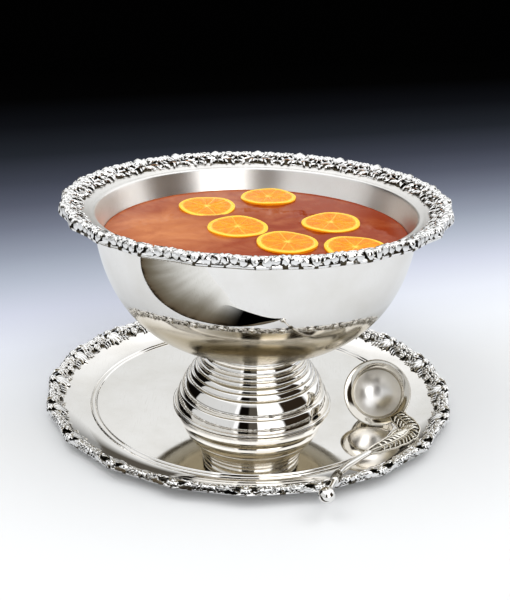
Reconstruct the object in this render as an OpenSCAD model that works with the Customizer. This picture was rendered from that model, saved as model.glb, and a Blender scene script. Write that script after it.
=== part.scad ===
// Footed punch bowl on a round tray, with its ladle, punch and orange slices.
// Millimetres. +Z is up, and the origin is the centre of the tray's underside.

/* [Tray] */
// Diameter of the flat well, inside the two ridges
well_d = 338; // [320:1:420]
// Thickness of the tray's sheet
tray_t = 1.6; // [1.2:0.1:2.4]
// Width of the tray's flange, from the ridges to the tips of its border
flange_w = 49.4; // [44:0.2:70]
// Rise of the tray's flange from the well to its edge
tray_rise = 12; // [8:0.5:16]
// Width of the tray's cast border
tray_border_w = 20; // [14:0.5:24]
// Thickness of the tray's cast border at its crown
tray_border_t = 5; // [3:0.5:7]
// Number of scallops round the tray's border
tray_lobes = 20; // [12:1:28]
// Depth of the dips between the scallops of both borders
lobe_depth = 6; // [5:0.5:8]
// Height of the two ridges round the well
ridge_h = 1.2; // [0.8:0.1:2]
// Width of each ridge
ridge_w = 2.6; // [2:0.1:4]
// Flat between the two ridges
ridge_gap = 2.4; // [1.5:0.1:5]

/* [Bowl] */
// Inside diameter of the bowl's mouth
mouth_d = 331.4; // [326:0.2:400]
// Thickness of the bowl's wall
bowl_t = 1.6; // [1.2:0.1:2.4]
// Depth of the bowl's body, outside, from its lip to its flat bottom
bowl_depth = 149; // [120:1:190]
// Width of the rim, from the bowl's wall to the tips of its border
rim_w = 35.7; // [30:0.1:44]
// Rise of the rim's flange from the lip to its edge
rim_rise = 8; // [4:0.5:12]
// Width of the smooth lip inside the cast border
lip_w = 9; // [6:0.5:14]
// Thickness of the bowl's cast border at its crown
rim_border_t = 5; // [3:0.5:7]
// Number of scallops round the bowl's border
rim_lobes = 24; // [16:1:32]
// The bowl's axis, right of the tray's centre
bowl_x = 3.8; // [0:0.1:15]
// The bowl's axis, behind the tray's centre when positive
bowl_y = -11.4; // [-15:0.1:0]

/* [Foot] */
// Diameter of the foot at its base
foot_d = 170.6; // [150:0.2:210]
// Diameter of the foot at its neck
neck_d = 110.6; // [90:0.2:120]
// Height of the foot
foot_h = 69.4; // [56:0.2:85]
// Thickness of the foot's sheet
foot_t = 1.5; // [1.2:0.1:2]
// Step between one ring of the foot and the next
ring_step = 1.1; // [0.6:0.1:1.6]
// Diameter of the wire round the foot's base
base_wire_d = 3; // [2:0.5:4]
// Thickness of the collar between the foot and the bowl
collar_t = 4.5; // [3:0.5:8]

/* [Fixing] */
// Diameter of the stud under the bowl
stud_d = 8; // [6:0.5:10]
// Length of the stud below the bowl
stud_len = 24; // [22:1:32]
// Diameter of the washer
washer_d = 26; // [20:1:32]
// Thickness of the washer
washer_t = 1.6; // [1:0.1:3]
// Diameter of the wing nut's hub
nut_d = 15; // [13:0.5:18]
// Height of the wing nut's hub
nut_h = 9; // [7:0.5:11]
// Span of the wing nut over its wings
nut_span = 38; // [32:1:46]

/* [Contents] */
// Level of the punch below the lip
fill_drop = 24.2; // [15:0.2:40]
// Diameter of an orange slice
slice_d = 65; // [50:1:66]
// Thickness of an orange slice
slice_t = 6; // [4:0.5:9]
// Thickness of the rind
rind_t = 3; // [2:0.5:5]
// How far a slice's top stands above the punch
slice_up = 2.4; // [1:0.1:3]

/* [Ladle] */
// Diameter of the ladle's flared lip
lip_d = 71.6; // [60:0.2:76]
// Inside diameter of the ladle's cup
cup_d = 52; // [44:0.5:54]
// Depth from the lip to the cup's throat
flare_h = 7; // [4:0.5:9]
// Thickness of the cup's wall
cup_t = 1.2; // [1:0.1:2]
// Diameter of the ladle's stem in the middle
stem_d = 6.4; // [5:0.2:8]
// Diameter of the ball at the end of the handle
ball_d = 15.6; // [12:0.2:18]

/* [Fits] */
// Gap between curved faces that don't press on each other
gap = 0.3; // [0.2:0.05:0.5]
// Gap round the stud in its holes
stud_gap = 0.5; // [0.3:0.1:1]
// Gap round a slice in the punch
slice_gap = 0.8; // [0.5:0.1:1.5]

/* [Hidden] */
$fn = 96;
eps = 0.01;

// Tray, by radius and height
well_z = tray_t;
ridge_r1 = well_d / 2;
ridge_r2 = ridge_r1 + ridge_w + ridge_gap;
flange_r0 = ridge_r2 + ridge_w;
tray_lobe_r = 80;
tray_r = flange_r0 + flange_w;
tray_edge_r = tray_r - lobe_depth - 2;
tray_border_r0 = tray_r - tray_border_w;
flange_steps = 6;

// Bowl, by radius and height
mouth_r = mouth_d / 2;
wall_r = mouth_r + bowl_t;
foot_z = well_z;
bowl_z = foot_z + foot_h + collar_t;
lip_z = bowl_z + bowl_depth;
neck_r = neck_d / 2;
rim_r = wall_r + rim_w;
rim_edge_r = rim_r - lobe_depth - 2;
rim_border_r0 = wall_r + lip_w;
rim_lobe_r = 62;
wall_steps = 22;
// The wall bulges past the ellipse through its lip and its bottom
wall_power = 3;
inner_depth = bowl_depth - bowl_t;
bowl_flat_r = neck_r + 1;

// Foot
foot_r = foot_d / 2;
// Each ring's edge: [share of the height, share of the way from the neck to the base]
ring_edges = [[0.246, 0.845], [0.493, 0.565], [0.586, 0.42], [0.662, 0.26], [0.726, 0.17],
              [0.8, 0.1], [0.916, 0.02], [1, 0]];
plate_top_z = foot_z + foot_h;
plate_z = plate_top_z - foot_t;

// Punch and slices
fill_z = lip_z - fill_drop;
slice_r = slice_d / 2;
slice_top = fill_z + slice_up;
// How far a slice's centre can be from the bowl's axis
slice_room = wall_at(mouth_r, inner_depth, fill_drop) - slice_r - slice_gap - 2 * gap;
// Each slice: [share of that room, direction from the axis, tilt towards the front, tilt right]
slices = [[0.73, 125.7, 4, 0], [0.955, 84, 1, -1], [0.152, 169.6, 3, 1],
          [0.645, 18.8, 2, -1], [0.418, -54, 1, 1], [0.87, -29.1, 2, -1]];

// Ladle: its cup stands on its lip in the well, and its handle lies on the tray's border
cup_lean = 29;
cup_turn = -8;
lip_inset = 18;
lip_az = -26.3;
lip_r = lip_d / 2;
cup_r = cup_d / 2;
lip_bead = 1.2;
cup_z = well_z + lip_r * cos(cup_lean) + lip_bead * sin(cup_lean) + gap;
lip_back = lip_r * sin(cup_lean);
cup_pos = polar(ridge_r1 - lip_inset, lip_az, cup_z) + lip_back * [sin(-cup_turn), cos(cup_turn), 0];
border_top = tray_t + tray_rise + tray_border_t;
stem_r = stem_d / 2;
ball_r = ball_d / 2;
ferrule_r = 4.8;
ferrule_l = 12;
rest_z = border_top + ferrule_r + gap;
leaf_z = tray_top(tray_r - 37) + 6.5;
// The handle's route, from the cup's lip to the ball past the tray's edge
root = [cup_pos.x + 0.54 * lip_r, cup_pos.y - 0.44 * lip_r, leaf_z + 6];
leaf_start = polar(tray_r - 36.5, -27.6, leaf_z + 2);
leaf_mid = polar(tray_r - 37, -34.4, leaf_z);
leaf_end = polar(tray_r - 42.6, -48.3, leaf_z + 1);
stem_mid = polar(tray_r - 29.3, -59.8, (leaf_z + rest_z) / 2);
stem_rest = polar(tray_r - 10, -66.5, rest_z);
ball_pos = polar(tray_r + 22, -72.9, rest_z + 1);

// Height of the tray's upper surface at radius r on the flange
function tray_top(r) =
    well_z + tray_rise * pow((r - flange_r0) / (tray_edge_r - flange_r0), 1.5);
// Evenly spaced steps from a to b
function steps(a, b, n) = [for (i = [0:n]) a + (b - a) * i / n];
// Points of an arc about c, from angle a to angle b
function arc(c, r, a, b, n) = [for (t = steps(a, b, n)) [c.x + r * cos(t), c.y + r * sin(t)]];
// Radius of the bowl's wall at a depth below the lip
function wall_at(r, depth, down) = r * pow(1 - pow(down / depth, 2), 1 / wall_power);
// Depth below the lip at which the wall has radius at
function depth_at(r, depth, at) = depth * sqrt(1 - pow(at / r, wall_power));
// Points of a wall from its flat bottom up to the lip, closer together near the bottom
function wall(r, depth, at) =
    let (low = depth_at(r, depth, at))
    [for (i = [0:wall_steps])
        let (down = low * (1 - pow(i / wall_steps, 1.4)))
        [i == 0 ? at : wall_at(r, depth, down), lip_z - down]];
// Height of the rim's upper surface at radius r
function rim_top(r) = lip_z + rim_rise * pow((r - wall_r) / (rim_edge_r - wall_r), 0.8);
// A point on a ring of the foot
function ring_point(e) = [neck_r + (foot_r - neck_r) * e[1], foot_z + foot_h * e[0]];
// A point at radius r and direction az about the tray's centre
function polar(r, az, z) = [r * cos(az), r * sin(az), z];
// Where a slice lies, at height z
function slice_place(s, z) = [bowl_x, bowl_y, 0] + polar(s[0] * slice_room, s[1], z);
function reversed(v) = [for (i = [len(v) - 1:-1:0]) v[i]];
function raised(v, dz) = [for (p = v) [p.x, p.y + dz]];
function unit(v) = v / norm(v);

module on_bowl_axis() { translate([bowl_x, bowl_y, 0]) children(); }

// A cone frustum between two points
module rod(a, b, ra, rb) {
    d = b - a;
    translate(a)
        rotate([0, acos(d.z / norm(d)), atan2(d.y, d.x)])
            cylinder(h = norm(d), r1 = ra, r2 = rb, $fn = 32);
}

// A plate whose edge is scalloped by wide discs, to cut a border's outline with
module scallops(count, r, lobe_r, z, h) {
    translate([0, 0, z])
        union() {
            cylinder(h = h, r = r - lobe_depth - 1);
            for (i = [0:count - 1])
                rotate(i * 360 / count) translate([r - lobe_r, 0, 0]) cylinder(h = h, r = lobe_r);
        }
}

module tray_plate() {
    flange = [for (r = concat(steps(flange_r0, tray_border_r0, flange_steps),
                              steps(tray_border_r0 + 2, tray_edge_r, 3))) [r, tray_top(r)]];
    color([0.86, 0.86, 0.85]) {
        rotate_extrude()
            polygon(concat([[0, 0], [flange_r0, 0]],
                           raised([for (i = [1:len(flange) - 1]) flange[i]], -tray_t),
                           reversed(flange), [[0, well_z]]));
        for (r = [ridge_r1, ridge_r2])
            rotate_extrude()
                polygon([[r, well_z - eps], [r + ridge_w, well_z - eps], [r + ridge_w, well_z],
                         [r + ridge_w * 0.7, well_z + ridge_h], [r + ridge_w * 0.3, well_z + ridge_h],
                         [r, well_z]]);
    }
}

module tray_border() {
    seat = [for (r = steps(tray_border_r0 + 2, tray_edge_r, 3)) [r, tray_top(r)]];
    top_z = tray_top(tray_edge_r) + tray_border_t;
    edge_z = tray_top(tray_edge_r) - tray_t;
    crown_r = (tray_border_r0 + tray_r) / 2;
    out_r = tray_r + 1;
    color([0.8, 0.8, 0.78])
        intersection() {
            rotate_extrude()
                polygon(concat(seat, [[tray_edge_r, edge_z], [out_r, edge_z], [out_r, top_z - 3],
                                      [crown_r + 4, top_z], [crown_r - 3, top_z - 0.6],
                                      [seat[0].x, seat[0].y + 1]]));
            scallops(tray_lobes, tray_r, tray_lobe_r, 0, top_z + 5);
        }
}

module bowl_shell() {
    outer = wall(wall_r, bowl_depth, bowl_flat_r);
    inner = wall(mouth_r, inner_depth, bowl_flat_r - bowl_t);
    rim = [for (r = concat(steps(wall_r + 2, rim_border_r0, 2), steps(rim_border_r0 + 4, rim_edge_r, 2)))
        [r, rim_top(r)]];
    bottom_z = outer[0].y;
    color([0.86, 0.86, 0.85])
        on_bowl_axis()
            rotate_extrude()
                polygon(concat([[0, bottom_z]], outer, [[wall_r, lip_z - 1]], raised(rim, -bowl_t),
                               reversed(rim), [[mouth_r + 0.8, lip_z + 0.5]],
                               reversed(inner), [[0, inner[0].y]]));
}

module bowl_border() {
    seat = [for (r = steps(rim_border_r0 + 4, rim_edge_r, 2)) [r, rim_top(r)]];
    edge_top = rim_top(rim_edge_r);
    low_z = edge_top - bowl_t - 3;
    out_r = rim_r + 1;
    crown_r = (rim_border_r0 + rim_r) / 2 + 2;
    color([0.8, 0.8, 0.78])
        on_bowl_axis()
            intersection() {
                rotate_extrude()
                    polygon(concat(seat, [[rim_edge_r, low_z], [out_r, low_z], [out_r, edge_top + 1],
                                          [crown_r + 5, edge_top + rim_border_t - 1],
                                          [crown_r - 3, edge_top + rim_border_t - 1.4],
                                          [seat[0].x, seat[0].y + 1.5]]));
                scallops(rim_lobes, rim_r, rim_lobe_r, low_z - 5, 40);
            }
}

module foot_collar() {
    color([0.86, 0.86, 0.85])
        on_bowl_axis()
            translate([0, 0, plate_top_z])
                difference() {
                    cylinder(h = collar_t, r = neck_r);
                    translate([0, 0, -1]) cylinder(h = collar_t + 2, r = stud_d / 2 + stud_gap, $fn = 48);
                }
}

// Outline of the foot: convex bands, each set back from the one below
module foot_outline() {
    edges = concat([[0, 1]], ring_edges);
    polygon(concat(
        [[0, foot_z]],
        [for (i = [0:len(edges) - 2])
            let (a = ring_point(edges[i]), b = ring_point(edges[i + 1]), set = i == 0 ? 0 : ring_step)
            each [for (t = [0, 0.25, 0.5, 0.75, 1])
                [a.x - set + (b.x + set - a.x) * t + 0.09 * (b.y - a.y) * sin(180 * t),
                 a.y + (b.y - a.y) * t]]],
        [[0, plate_top_z]]));
}

module foot_shell() {
    inner_edges = [[0, 1], ring_edges[0], ring_edges[1], ring_edges[3], ring_edges[5]];
    back = foot_t + ring_step;
    hollow = concat([for (e = inner_edges) ring_point(e) - [back, 0]],
                    [[neck_r - back, plate_z], [0, plate_z], [0, foot_z - 1], [foot_r - back, foot_z - 1]]);
    color([0.84, 0.84, 0.83])
        on_bowl_axis()
            difference() {
                rotate_extrude() foot_outline();
                rotate_extrude() polygon(hollow);
                translate([0, 0, plate_z - 1])
                    cylinder(h = foot_t + 2, r = stud_d / 2 + stud_gap, $fn = 48);
            }
}

module foot_base_wire() {
    r = base_wire_d / 2;
    color([0.86, 0.86, 0.85])
        on_bowl_axis()
            rotate_extrude()
                difference() {
                    translate([foot_r + r - 0.4, foot_z + r + gap]) circle(r = r, $fn = 24);
                    translate([0, foot_z - 1]) square([foot_r + gap, base_wire_d + 2]);
                }
}

module foot_stud() {
    color([0.78, 0.65, 0.35])
        on_bowl_axis()
            translate([0, 0, bowl_z - stud_len]) cylinder(h = stud_len, r = stud_d / 2, $fn = 48);
}

module foot_washer() {
    color([0.7, 0.7, 0.7])
        on_bowl_axis()
            translate([0, 0, plate_z - washer_t])
                difference() {
                    cylinder(h = washer_t, r = washer_d / 2, $fn = 48);
                    translate([0, 0, -1]) cylinder(h = washer_t + 2, r = stud_d / 2 + stud_gap, $fn = 48);
                }
}

module foot_wing_nut() {
    wing = (nut_span - nut_d) / 2 + 2;
    color([0.78, 0.65, 0.35])
        on_bowl_axis()
            translate([0, 0, plate_z - washer_t - nut_h])
                difference() {
                    union() {
                        cylinder(h = nut_h, r = nut_d / 2, $fn = 48);
                        for (side = [-1, 1])
                            translate([side * (nut_d / 2 - 2 + wing / 2), 0, nut_h * 0.45])
                                cube([wing, 2.4, nut_h * 0.9], center = true);
                    }
                    translate([0, 0, -1])
                        cylinder(h = nut_h + 2, r = stud_d / 2 + 0.15, $fn = 48);
                }
}

// The punch fills the bowl's own inner outline, moved in and up by the gap
module punch() {
    inner = wall(mouth_r, inner_depth, bowl_flat_r - bowl_t);
    under = [for (p = inner) if (p.y + gap < fill_z - 1) p + [-gap, gap]];
    side = concat(under, [[wall_at(mouth_r, inner_depth, fill_drop) - 3 * gap, fill_z]]);
    color([0.82, 0.42, 0.22])
        difference() {
            on_bowl_axis()
                rotate_extrude() polygon(concat([[0, side[0].y]], side, [[0, fill_z]]));
            for (s = slices) {
                tilt = max(abs(s[2]), abs(s[3]));
                floor_z = slice_top - slice_t - slice_r * sin(tilt) - slice_gap;
                translate(slice_place(s, floor_z))
                    cylinder(h = slice_t + 20, r = slice_r + slice_gap);
            }
        }
}

// Places a slice's own frame, with its top face at z = 0
module at_slice(s) {
    translate(slice_place(s, slice_top)) rotate([s[2], s[3], 0]) children();
}

module slice_rind(i) {
    color([1, 0.72, 0.15])
        at_slice(slices[i])
            translate([0, 0, -slice_t])
                difference() {
                    cylinder(h = slice_t, r = slice_r);
                    translate([0, 0, -1]) cylinder(h = slice_t + 2, r = slice_r - rind_t);
                }
}

module slice_flesh(i) {
    color([1, 0.6, 0.1])
        at_slice(slices[i])
            translate([0, 0, -slice_t]) cylinder(h = slice_t, r = slice_r - rind_t);
}

// Places the cup's own frame: its mouth in the plane z = 0, opening along +Z
module at_cup() {
    translate(cup_pos) rotate([90 - cup_lean, 0, cup_turn]) children();
}

module ladle_cup() {
    out_r = cup_r + cup_t;
    bead = lip_bead;
    flare = [for (t = steps(0, 1, 5))
        [out_r + (lip_r - bead - out_r) * pow(t, 1.8), -flare_h + (flare_h - 0.6) * t]];
    outer = arc([0, -flare_h], out_r, -90, 0, 12);
    inner = arc([0, -flare_h], cup_r, 0, -90, 12);
    color([0.86, 0.86, 0.85])
        at_cup() {
            rotate_extrude()
                polygon(concat(outer, [for (i = [1:5]) flare[i]],
                               [[lip_r, -bead], [lip_r, 0], [lip_r - bead * 1.6, 0.4]],
                               [for (i = [4:-1:1]) flare[i] + [-cup_t * 0.75, cup_t * 0.8]], inner));
        }
}

// One flattened stretch of the leaf, thin across and wide along the surface
module leaf_stretch(a, b, wa, wb) {
    side = unit(cross(b - a, [0, 0, 1]));
    hull()
        for (k = [-1, 1]) {
            translate(a + k * side * wa) sphere(r = 2, $fn = 16);
            translate(b + k * side * wb) sphere(r = 2, $fn = 16);
        }
}

module ladle_leaf() {
    color([0.6, 0.58, 0.5]) {
        leaf_stretch(root, leaf_start, 3, 6);
        leaf_stretch(leaf_start, leaf_mid, 6, 7);
        leaf_stretch(leaf_mid, leaf_end, 7, 1.5);
    }
}

// A round-ended stretch of the stem
module stem_stretch(a, b, ra, rb) {
    hull() {
        translate(a) sphere(r = ra, $fn = 24);
        translate(b) sphere(r = rb, $fn = 24);
    }
}

module ladle_stem() {
    color([0.86, 0.86, 0.85]) {
        stem_stretch(leaf_end, stem_mid, stem_r * 0.8, stem_r);
        stem_stretch(stem_mid, stem_rest, stem_r, stem_r);
    }
}

module ladle_ferrule() {
    along = unit(ball_pos - stem_rest);
    color([0.7, 0.68, 0.6])
        rod(stem_rest, stem_rest + along * ferrule_l, ferrule_r * 0.8, ferrule_r);
}

module ladle_finial() {
    along = unit(ball_pos - stem_rest);
    color([0.86, 0.86, 0.85]) {
        translate(ball_pos) sphere(r = ball_r, $fn = 48);
        rod(stem_rest + along * ferrule_l, ball_pos, 2.5, 2.5);
    }
}

tray_plate();
tray_border();
bowl_shell();
bowl_border();
foot_collar();
foot_shell();
foot_base_wire();
foot_stud();
foot_washer();
foot_wing_nut();
punch();
slice_rind(0);  // slice_1_rind
slice_flesh(0);  // slice_1_flesh
slice_rind(1);  // slice_2_rind
slice_flesh(1);  // slice_2_flesh
slice_rind(2);  // slice_3_rind
slice_flesh(2);  // slice_3_flesh
slice_rind(3);  // slice_4_rind
slice_flesh(3);  // slice_4_flesh
slice_rind(4);  // slice_5_rind
slice_flesh(4);  // slice_5_flesh
slice_rind(5);  // slice_6_rind
slice_flesh(5);  // slice_6_flesh
ladle_cup();
ladle_leaf();
ladle_stem();
ladle_ferrule();
ladle_finial();
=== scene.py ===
"""Looks of a footed silver punch bowl on its tray, with its ladle, punch and orange slices.

Lengths are millimetres throughout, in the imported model's own frame, and every mesh is
turned to metres as its piece is made.
"""

from __future__ import annotations

import logging
import math
from dataclasses import dataclass, field
from enum import Enum
from typing import Callable, Sequence

import bmesh
import bpy
import numpy as np
from mathutils import Euler, Matrix, Vector

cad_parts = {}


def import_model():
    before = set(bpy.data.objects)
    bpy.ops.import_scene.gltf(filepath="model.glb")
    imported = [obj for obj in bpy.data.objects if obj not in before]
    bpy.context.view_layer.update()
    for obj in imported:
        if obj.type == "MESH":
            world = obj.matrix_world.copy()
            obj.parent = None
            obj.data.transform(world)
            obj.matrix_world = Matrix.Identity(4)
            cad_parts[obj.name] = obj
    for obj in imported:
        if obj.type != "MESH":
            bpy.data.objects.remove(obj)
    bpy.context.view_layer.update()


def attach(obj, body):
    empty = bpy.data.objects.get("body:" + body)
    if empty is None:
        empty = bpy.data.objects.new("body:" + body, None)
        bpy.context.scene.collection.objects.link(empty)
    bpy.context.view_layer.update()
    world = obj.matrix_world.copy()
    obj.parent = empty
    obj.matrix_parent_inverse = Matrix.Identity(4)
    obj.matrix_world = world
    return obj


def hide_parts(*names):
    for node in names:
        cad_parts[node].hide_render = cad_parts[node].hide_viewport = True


LOG = logging.getLogger("punch_bowl")
MM = 0.001
ROUND = 288
SHARP = 38.0
Array = np.ndarray
Point = tuple[float, float]
Spot = tuple[float, float, float]
Socket = bpy.types.NodeSocket


# ---------------------------------------------------------------- mesh tools


def grid_faces(rows: int, cols: int, wrap: bool = True) -> Array:
    """Faces of a grid of points.

    Args:
        rows: Number of rows of points.
        cols: Number of points in each row.
        wrap: Whether each row's last point joins its first.

    Returns:
        One row of four point numbers for each face.
    """
    span = cols if wrap else cols - 1
    i, j = np.meshgrid(np.arange(rows - 1), np.arange(span), indexing="ij")
    k = (j + 1) % cols
    faces = np.stack([i * cols + j, i * cols + k, (i + 1) * cols + k, (i + 1) * cols + j], -1)
    return faces.reshape(-1, 4)


def ring_faces(rows: int, cols: int) -> Array:
    """Faces of a form closed both ways: each row of points is a ring, and the last ring joins the first.

    Args:
        rows: Number of rings.
        cols: Number of points in each ring.

    Returns:
        One row of four point numbers for each face.
    """
    j = np.arange(cols)
    k = (j + 1) % cols
    last = (rows - 1) * cols
    return np.vstack([grid_faces(rows, cols), np.stack([last + j, last + k, k, j], -1)])


def capped_faces(rows: int, cols: int) -> list[tuple[int, ...]]:
    """Faces of a row of rings, with a flat face over each end.

    Args:
        rows: Number of rings.
        cols: Number of points in each ring.

    Returns:
        Each face's point numbers.
    """
    faces = [tuple(f) for f in grid_faces(rows, cols)]
    return [*faces, tuple(range(cols))[::-1], tuple(range((rows - 1) * cols, rows * cols))]


def circling(radius: Array, turn: Array, high: Array, axis: Point = (0.0, 0.0)) -> Array:
    """Points at a radius, an angle and a height about an upright axis.

    Args:
        radius: The radii.
        turn: The angles, in radians.
        high: The heights.
        axis: Where the axis stands.

    Returns:
        The points, in an array with one more dimension than the radii.
    """
    x, y = radius * np.cos(turn), radius * np.sin(turn)
    return np.stack([axis[0] + x, axis[1] + y, np.broadcast_to(high, x.shape)], -1)


def ring_angles(count: int) -> Array:
    """Angles of evenly spaced points round a ring."""
    return np.arange(count) / count * 2 * np.pi


def rounded(corners: Sequence[tuple[float, float, float]], steps: int = 6) -> list[Point]:
    """A closed outline with its corners rounded.

    Args:
        corners: Radius, height and how far back the rounding starts, for each corner.
        steps: Points along each rounding.

    Returns:
        The outline's points. A short straight stays beside each rounding.
    """
    found: list[Point] = []
    flat = [np.array(c[:2], float) for c in corners]
    for i, corner in enumerate(corners):
        here, before, after = flat[i], flat[i - 1], flat[(i + 1) % len(flat)]
        if corner[2] <= 0:
            found.append((here[0], here[1]))
            continue
        a, b = before - here, after - here
        cut = min(corner[2], 0.45 * np.linalg.norm(a), 0.45 * np.linalg.norm(b))
        start, end = here + a / np.linalg.norm(a) * cut, here + b / np.linalg.norm(b) * cut
        found.append(tuple(start + (start - here) * 0.1))
        for t in np.linspace(0, 1, steps):
            found.append(tuple((1 - t) ** 2 * start + 2 * t * (1 - t) * here + t * t * end))
        found.append(tuple(end + (end - here) * 0.1))
    return found


def smooth_path(points: Sequence[Spot], steps: int) -> Array:
    """A Catmull-Rom curve through the points.

    Args:
        points: What the curve passes through.
        steps: Points between one and the next.

    Returns:
        Points along the curve, one in each row.
    """
    p = np.array(points, float)
    p = np.vstack([2 * p[0] - p[1], p, 2 * p[-1] - p[-2]])
    t = np.linspace(0, 1, steps, endpoint=False)[:, None]
    runs = []
    for a, b, c, d in zip(p, p[1:], p[2:], p[3:]):
        runs.append(0.5 * (2 * b + (c - a) * t + (2 * a - 5 * b + 4 * c - d) * t**2
                           + (3 * b - a - 3 * c + d) * t**3))
    return np.vstack([*runs, p[-2:-1]])


@dataclass
class Draft:
    """Points, faces and a height in the relief for each point, gathered for one piece."""

    points: list[Array] = field(default_factory=list)
    faces: list[tuple[int, ...]] = field(default_factory=list)
    relief: list[Array] = field(default_factory=list)
    count: int = 0

    def add(self, points: Array, faces: Sequence[Sequence[int]], relief: Array | float = 1.0) -> None:
        """Adds a closed form.

        Args:
            points: Its points, one in each row.
            faces: Its faces, as point numbers from 0.
            relief: 0 in the deepest hollow, up to 1 on the crown.
        """
        start = self.count
        self.points.append(np.asarray(points, float))
        self.faces.extend(tuple(int(n) + start for n in f) for f in faces)
        self.relief.append(np.broadcast_to(np.asarray(relief, float), len(points)))
        self.count += len(points)

    def lathe(self, outline: Sequence[Point], axis: Matrix | None = None, around: int = ROUND,
              relief: float | Array = 1.0) -> None:
        """Adds a closed outline turned about an axis.

        Args:
            outline: Radius and height of each corner, in order round the outline.
            axis: Places the turned form, or None for the origin.
            around: Points in each ring.
            relief: The form's height in the relief, or that of each corner.
        """
        line = np.array(outline, float)
        points = circling(line[:, :1], ring_angles(around), line[:, 1:]).reshape(-1, 3)
        self.add(moved(points, axis), ring_faces(len(line), around),
                 np.repeat(np.broadcast_to(relief, len(line)), around))

    def bar(self, path: Array, wide: Array | float, high: Array | float, sides: int = 6,
            up: Spot = (0, 0, 1), sunk: float = 0.25) -> None:
        """Adds a closed bar along a path, elliptical across.

        Args:
            path: Points along the bar's middle.
            wide: Half its width at each point.
            high: Half its height at each point.
            sides: Points round it.
            up: The direction its height is measured in.
            sunk: The relief of its underside.
        """
        path = np.asarray(path, float)
        along = np.gradient(path, axis=0)
        along /= np.linalg.norm(along, axis=1, keepdims=True) + 1e-9
        side = np.cross(np.broadcast_to(up, along.shape), along)
        side /= np.linalg.norm(side, axis=1, keepdims=True) + 1e-9
        crown = np.cross(along, side)
        turn = (np.arange(sides) + 0.5) / sides * 2 * np.pi
        wide = np.broadcast_to(wide, len(path))[:, None, None]
        high = np.broadcast_to(high, len(path))[:, None, None]
        points = (path[:, None] + wide * np.cos(turn)[None, :, None] * side[:, None]
                  + high * np.sin(turn)[None, :, None] * crown[:, None])
        relief = np.broadcast_to(sunk + (1 - sunk) * (0.5 + 0.5 * np.sin(turn)), points.shape[:2])
        self.add(points.reshape(-1, 3), capped_faces(len(path), sides), relief.reshape(-1))

    def bead(self, centre: Spot, radius: float, squash: float = 1.0, sides: int = 8) -> None:
        """Adds a ball.

        Args:
            centre: Its middle.
            radius: Its radius.
            squash: Its height as a share of its width.
            sides: Points round it.
        """
        t = np.linspace(0, np.pi, 6)
        path = np.array(centre) - np.outer(np.cos(t), (0, 0, radius * squash))
        size = radius * np.maximum(np.sin(t), 0.06)
        self.bar(path, size, size, sides, up=(0, 1, 0), sunk=0.5)


def turned(outline: Sequence[Point], axis: Matrix | None = None, around: int = ROUND,
           relief: float | Array = 1.0) -> Draft:
    """A draft of one closed outline turned about an axis.

    Args:
        outline: Radius and height of each corner, in order round the outline.
        axis: Places the turned form, or None for the origin.
        around: Points in each ring.
        relief: The form's height in the relief, or that of each corner.

    Returns:
        The draft.
    """
    draft = Draft()
    draft.lathe(outline, axis, around, relief)
    return draft


def moved(points: Array, place: Matrix | None) -> Array:
    """Points carried by a placing matrix.

    Args:
        points: The points, one in each row.
        place: The matrix, or None to leave them as they are.

    Returns:
        The carried points.
    """
    if place is None:
        return points
    m = np.array(place)
    return points @ m[:3, :3].T + m[:3, 3]


def along_axis(start: Spot, end: Spot) -> Matrix:
    """Places a form's own origin at start, with its +Z towards end."""
    way = Vector(end) - Vector(start)
    return Matrix.Translation(start) @ way.to_track_quat("Z", "Y").to_matrix().to_4x4()


def make_piece(name: str, draft: Draft, material: bpy.types.Material, body: str,
               replaces: Sequence[str], sharp: float = SHARP, attribute: str = "relief") -> bpy.types.Object:
    """Turns a draft into a piece that rides on its body.

    Args:
        name: The piece's name.
        draft: Its form, in millimetres.
        material: Its finish.
        body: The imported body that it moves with.
        replaces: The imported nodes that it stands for.
        sharp: Angle in degrees past which an edge stays crisp.
        attribute: What the draft's relief is stored as.

    Returns:
        The new object.
    """
    mesh = bpy.data.meshes.new(name)
    mesh.from_pydata((np.vstack(draft.points) * MM).tolist(), [], draft.faces)
    store = mesh.attributes.new(attribute, "FLOAT", "POINT")
    store.data.foreach_set("value", np.concatenate(draft.relief).astype(np.float32))
    piece = bpy.data.objects.new(name, mesh)
    bpy.context.scene.collection.objects.link(piece)
    form = bmesh.new()
    form.from_mesh(mesh)
    bmesh.ops.remove_doubles(form, verts=form.verts, dist=1e-7)
    bmesh.ops.recalc_face_normals(form, faces=form.faces)
    form.to_mesh(mesh)
    form.free()
    mesh.shade_smooth()
    mesh.set_sharp_from_angle(angle=math.radians(sharp))
    mesh.materials.append(material)
    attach(piece, body)
    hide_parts(*replaces)
    LOG.info("%s: %d faces on %s", name, len(mesh.polygons), body)
    return piece


# ---------------------------------------------------------------- finishes


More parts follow.
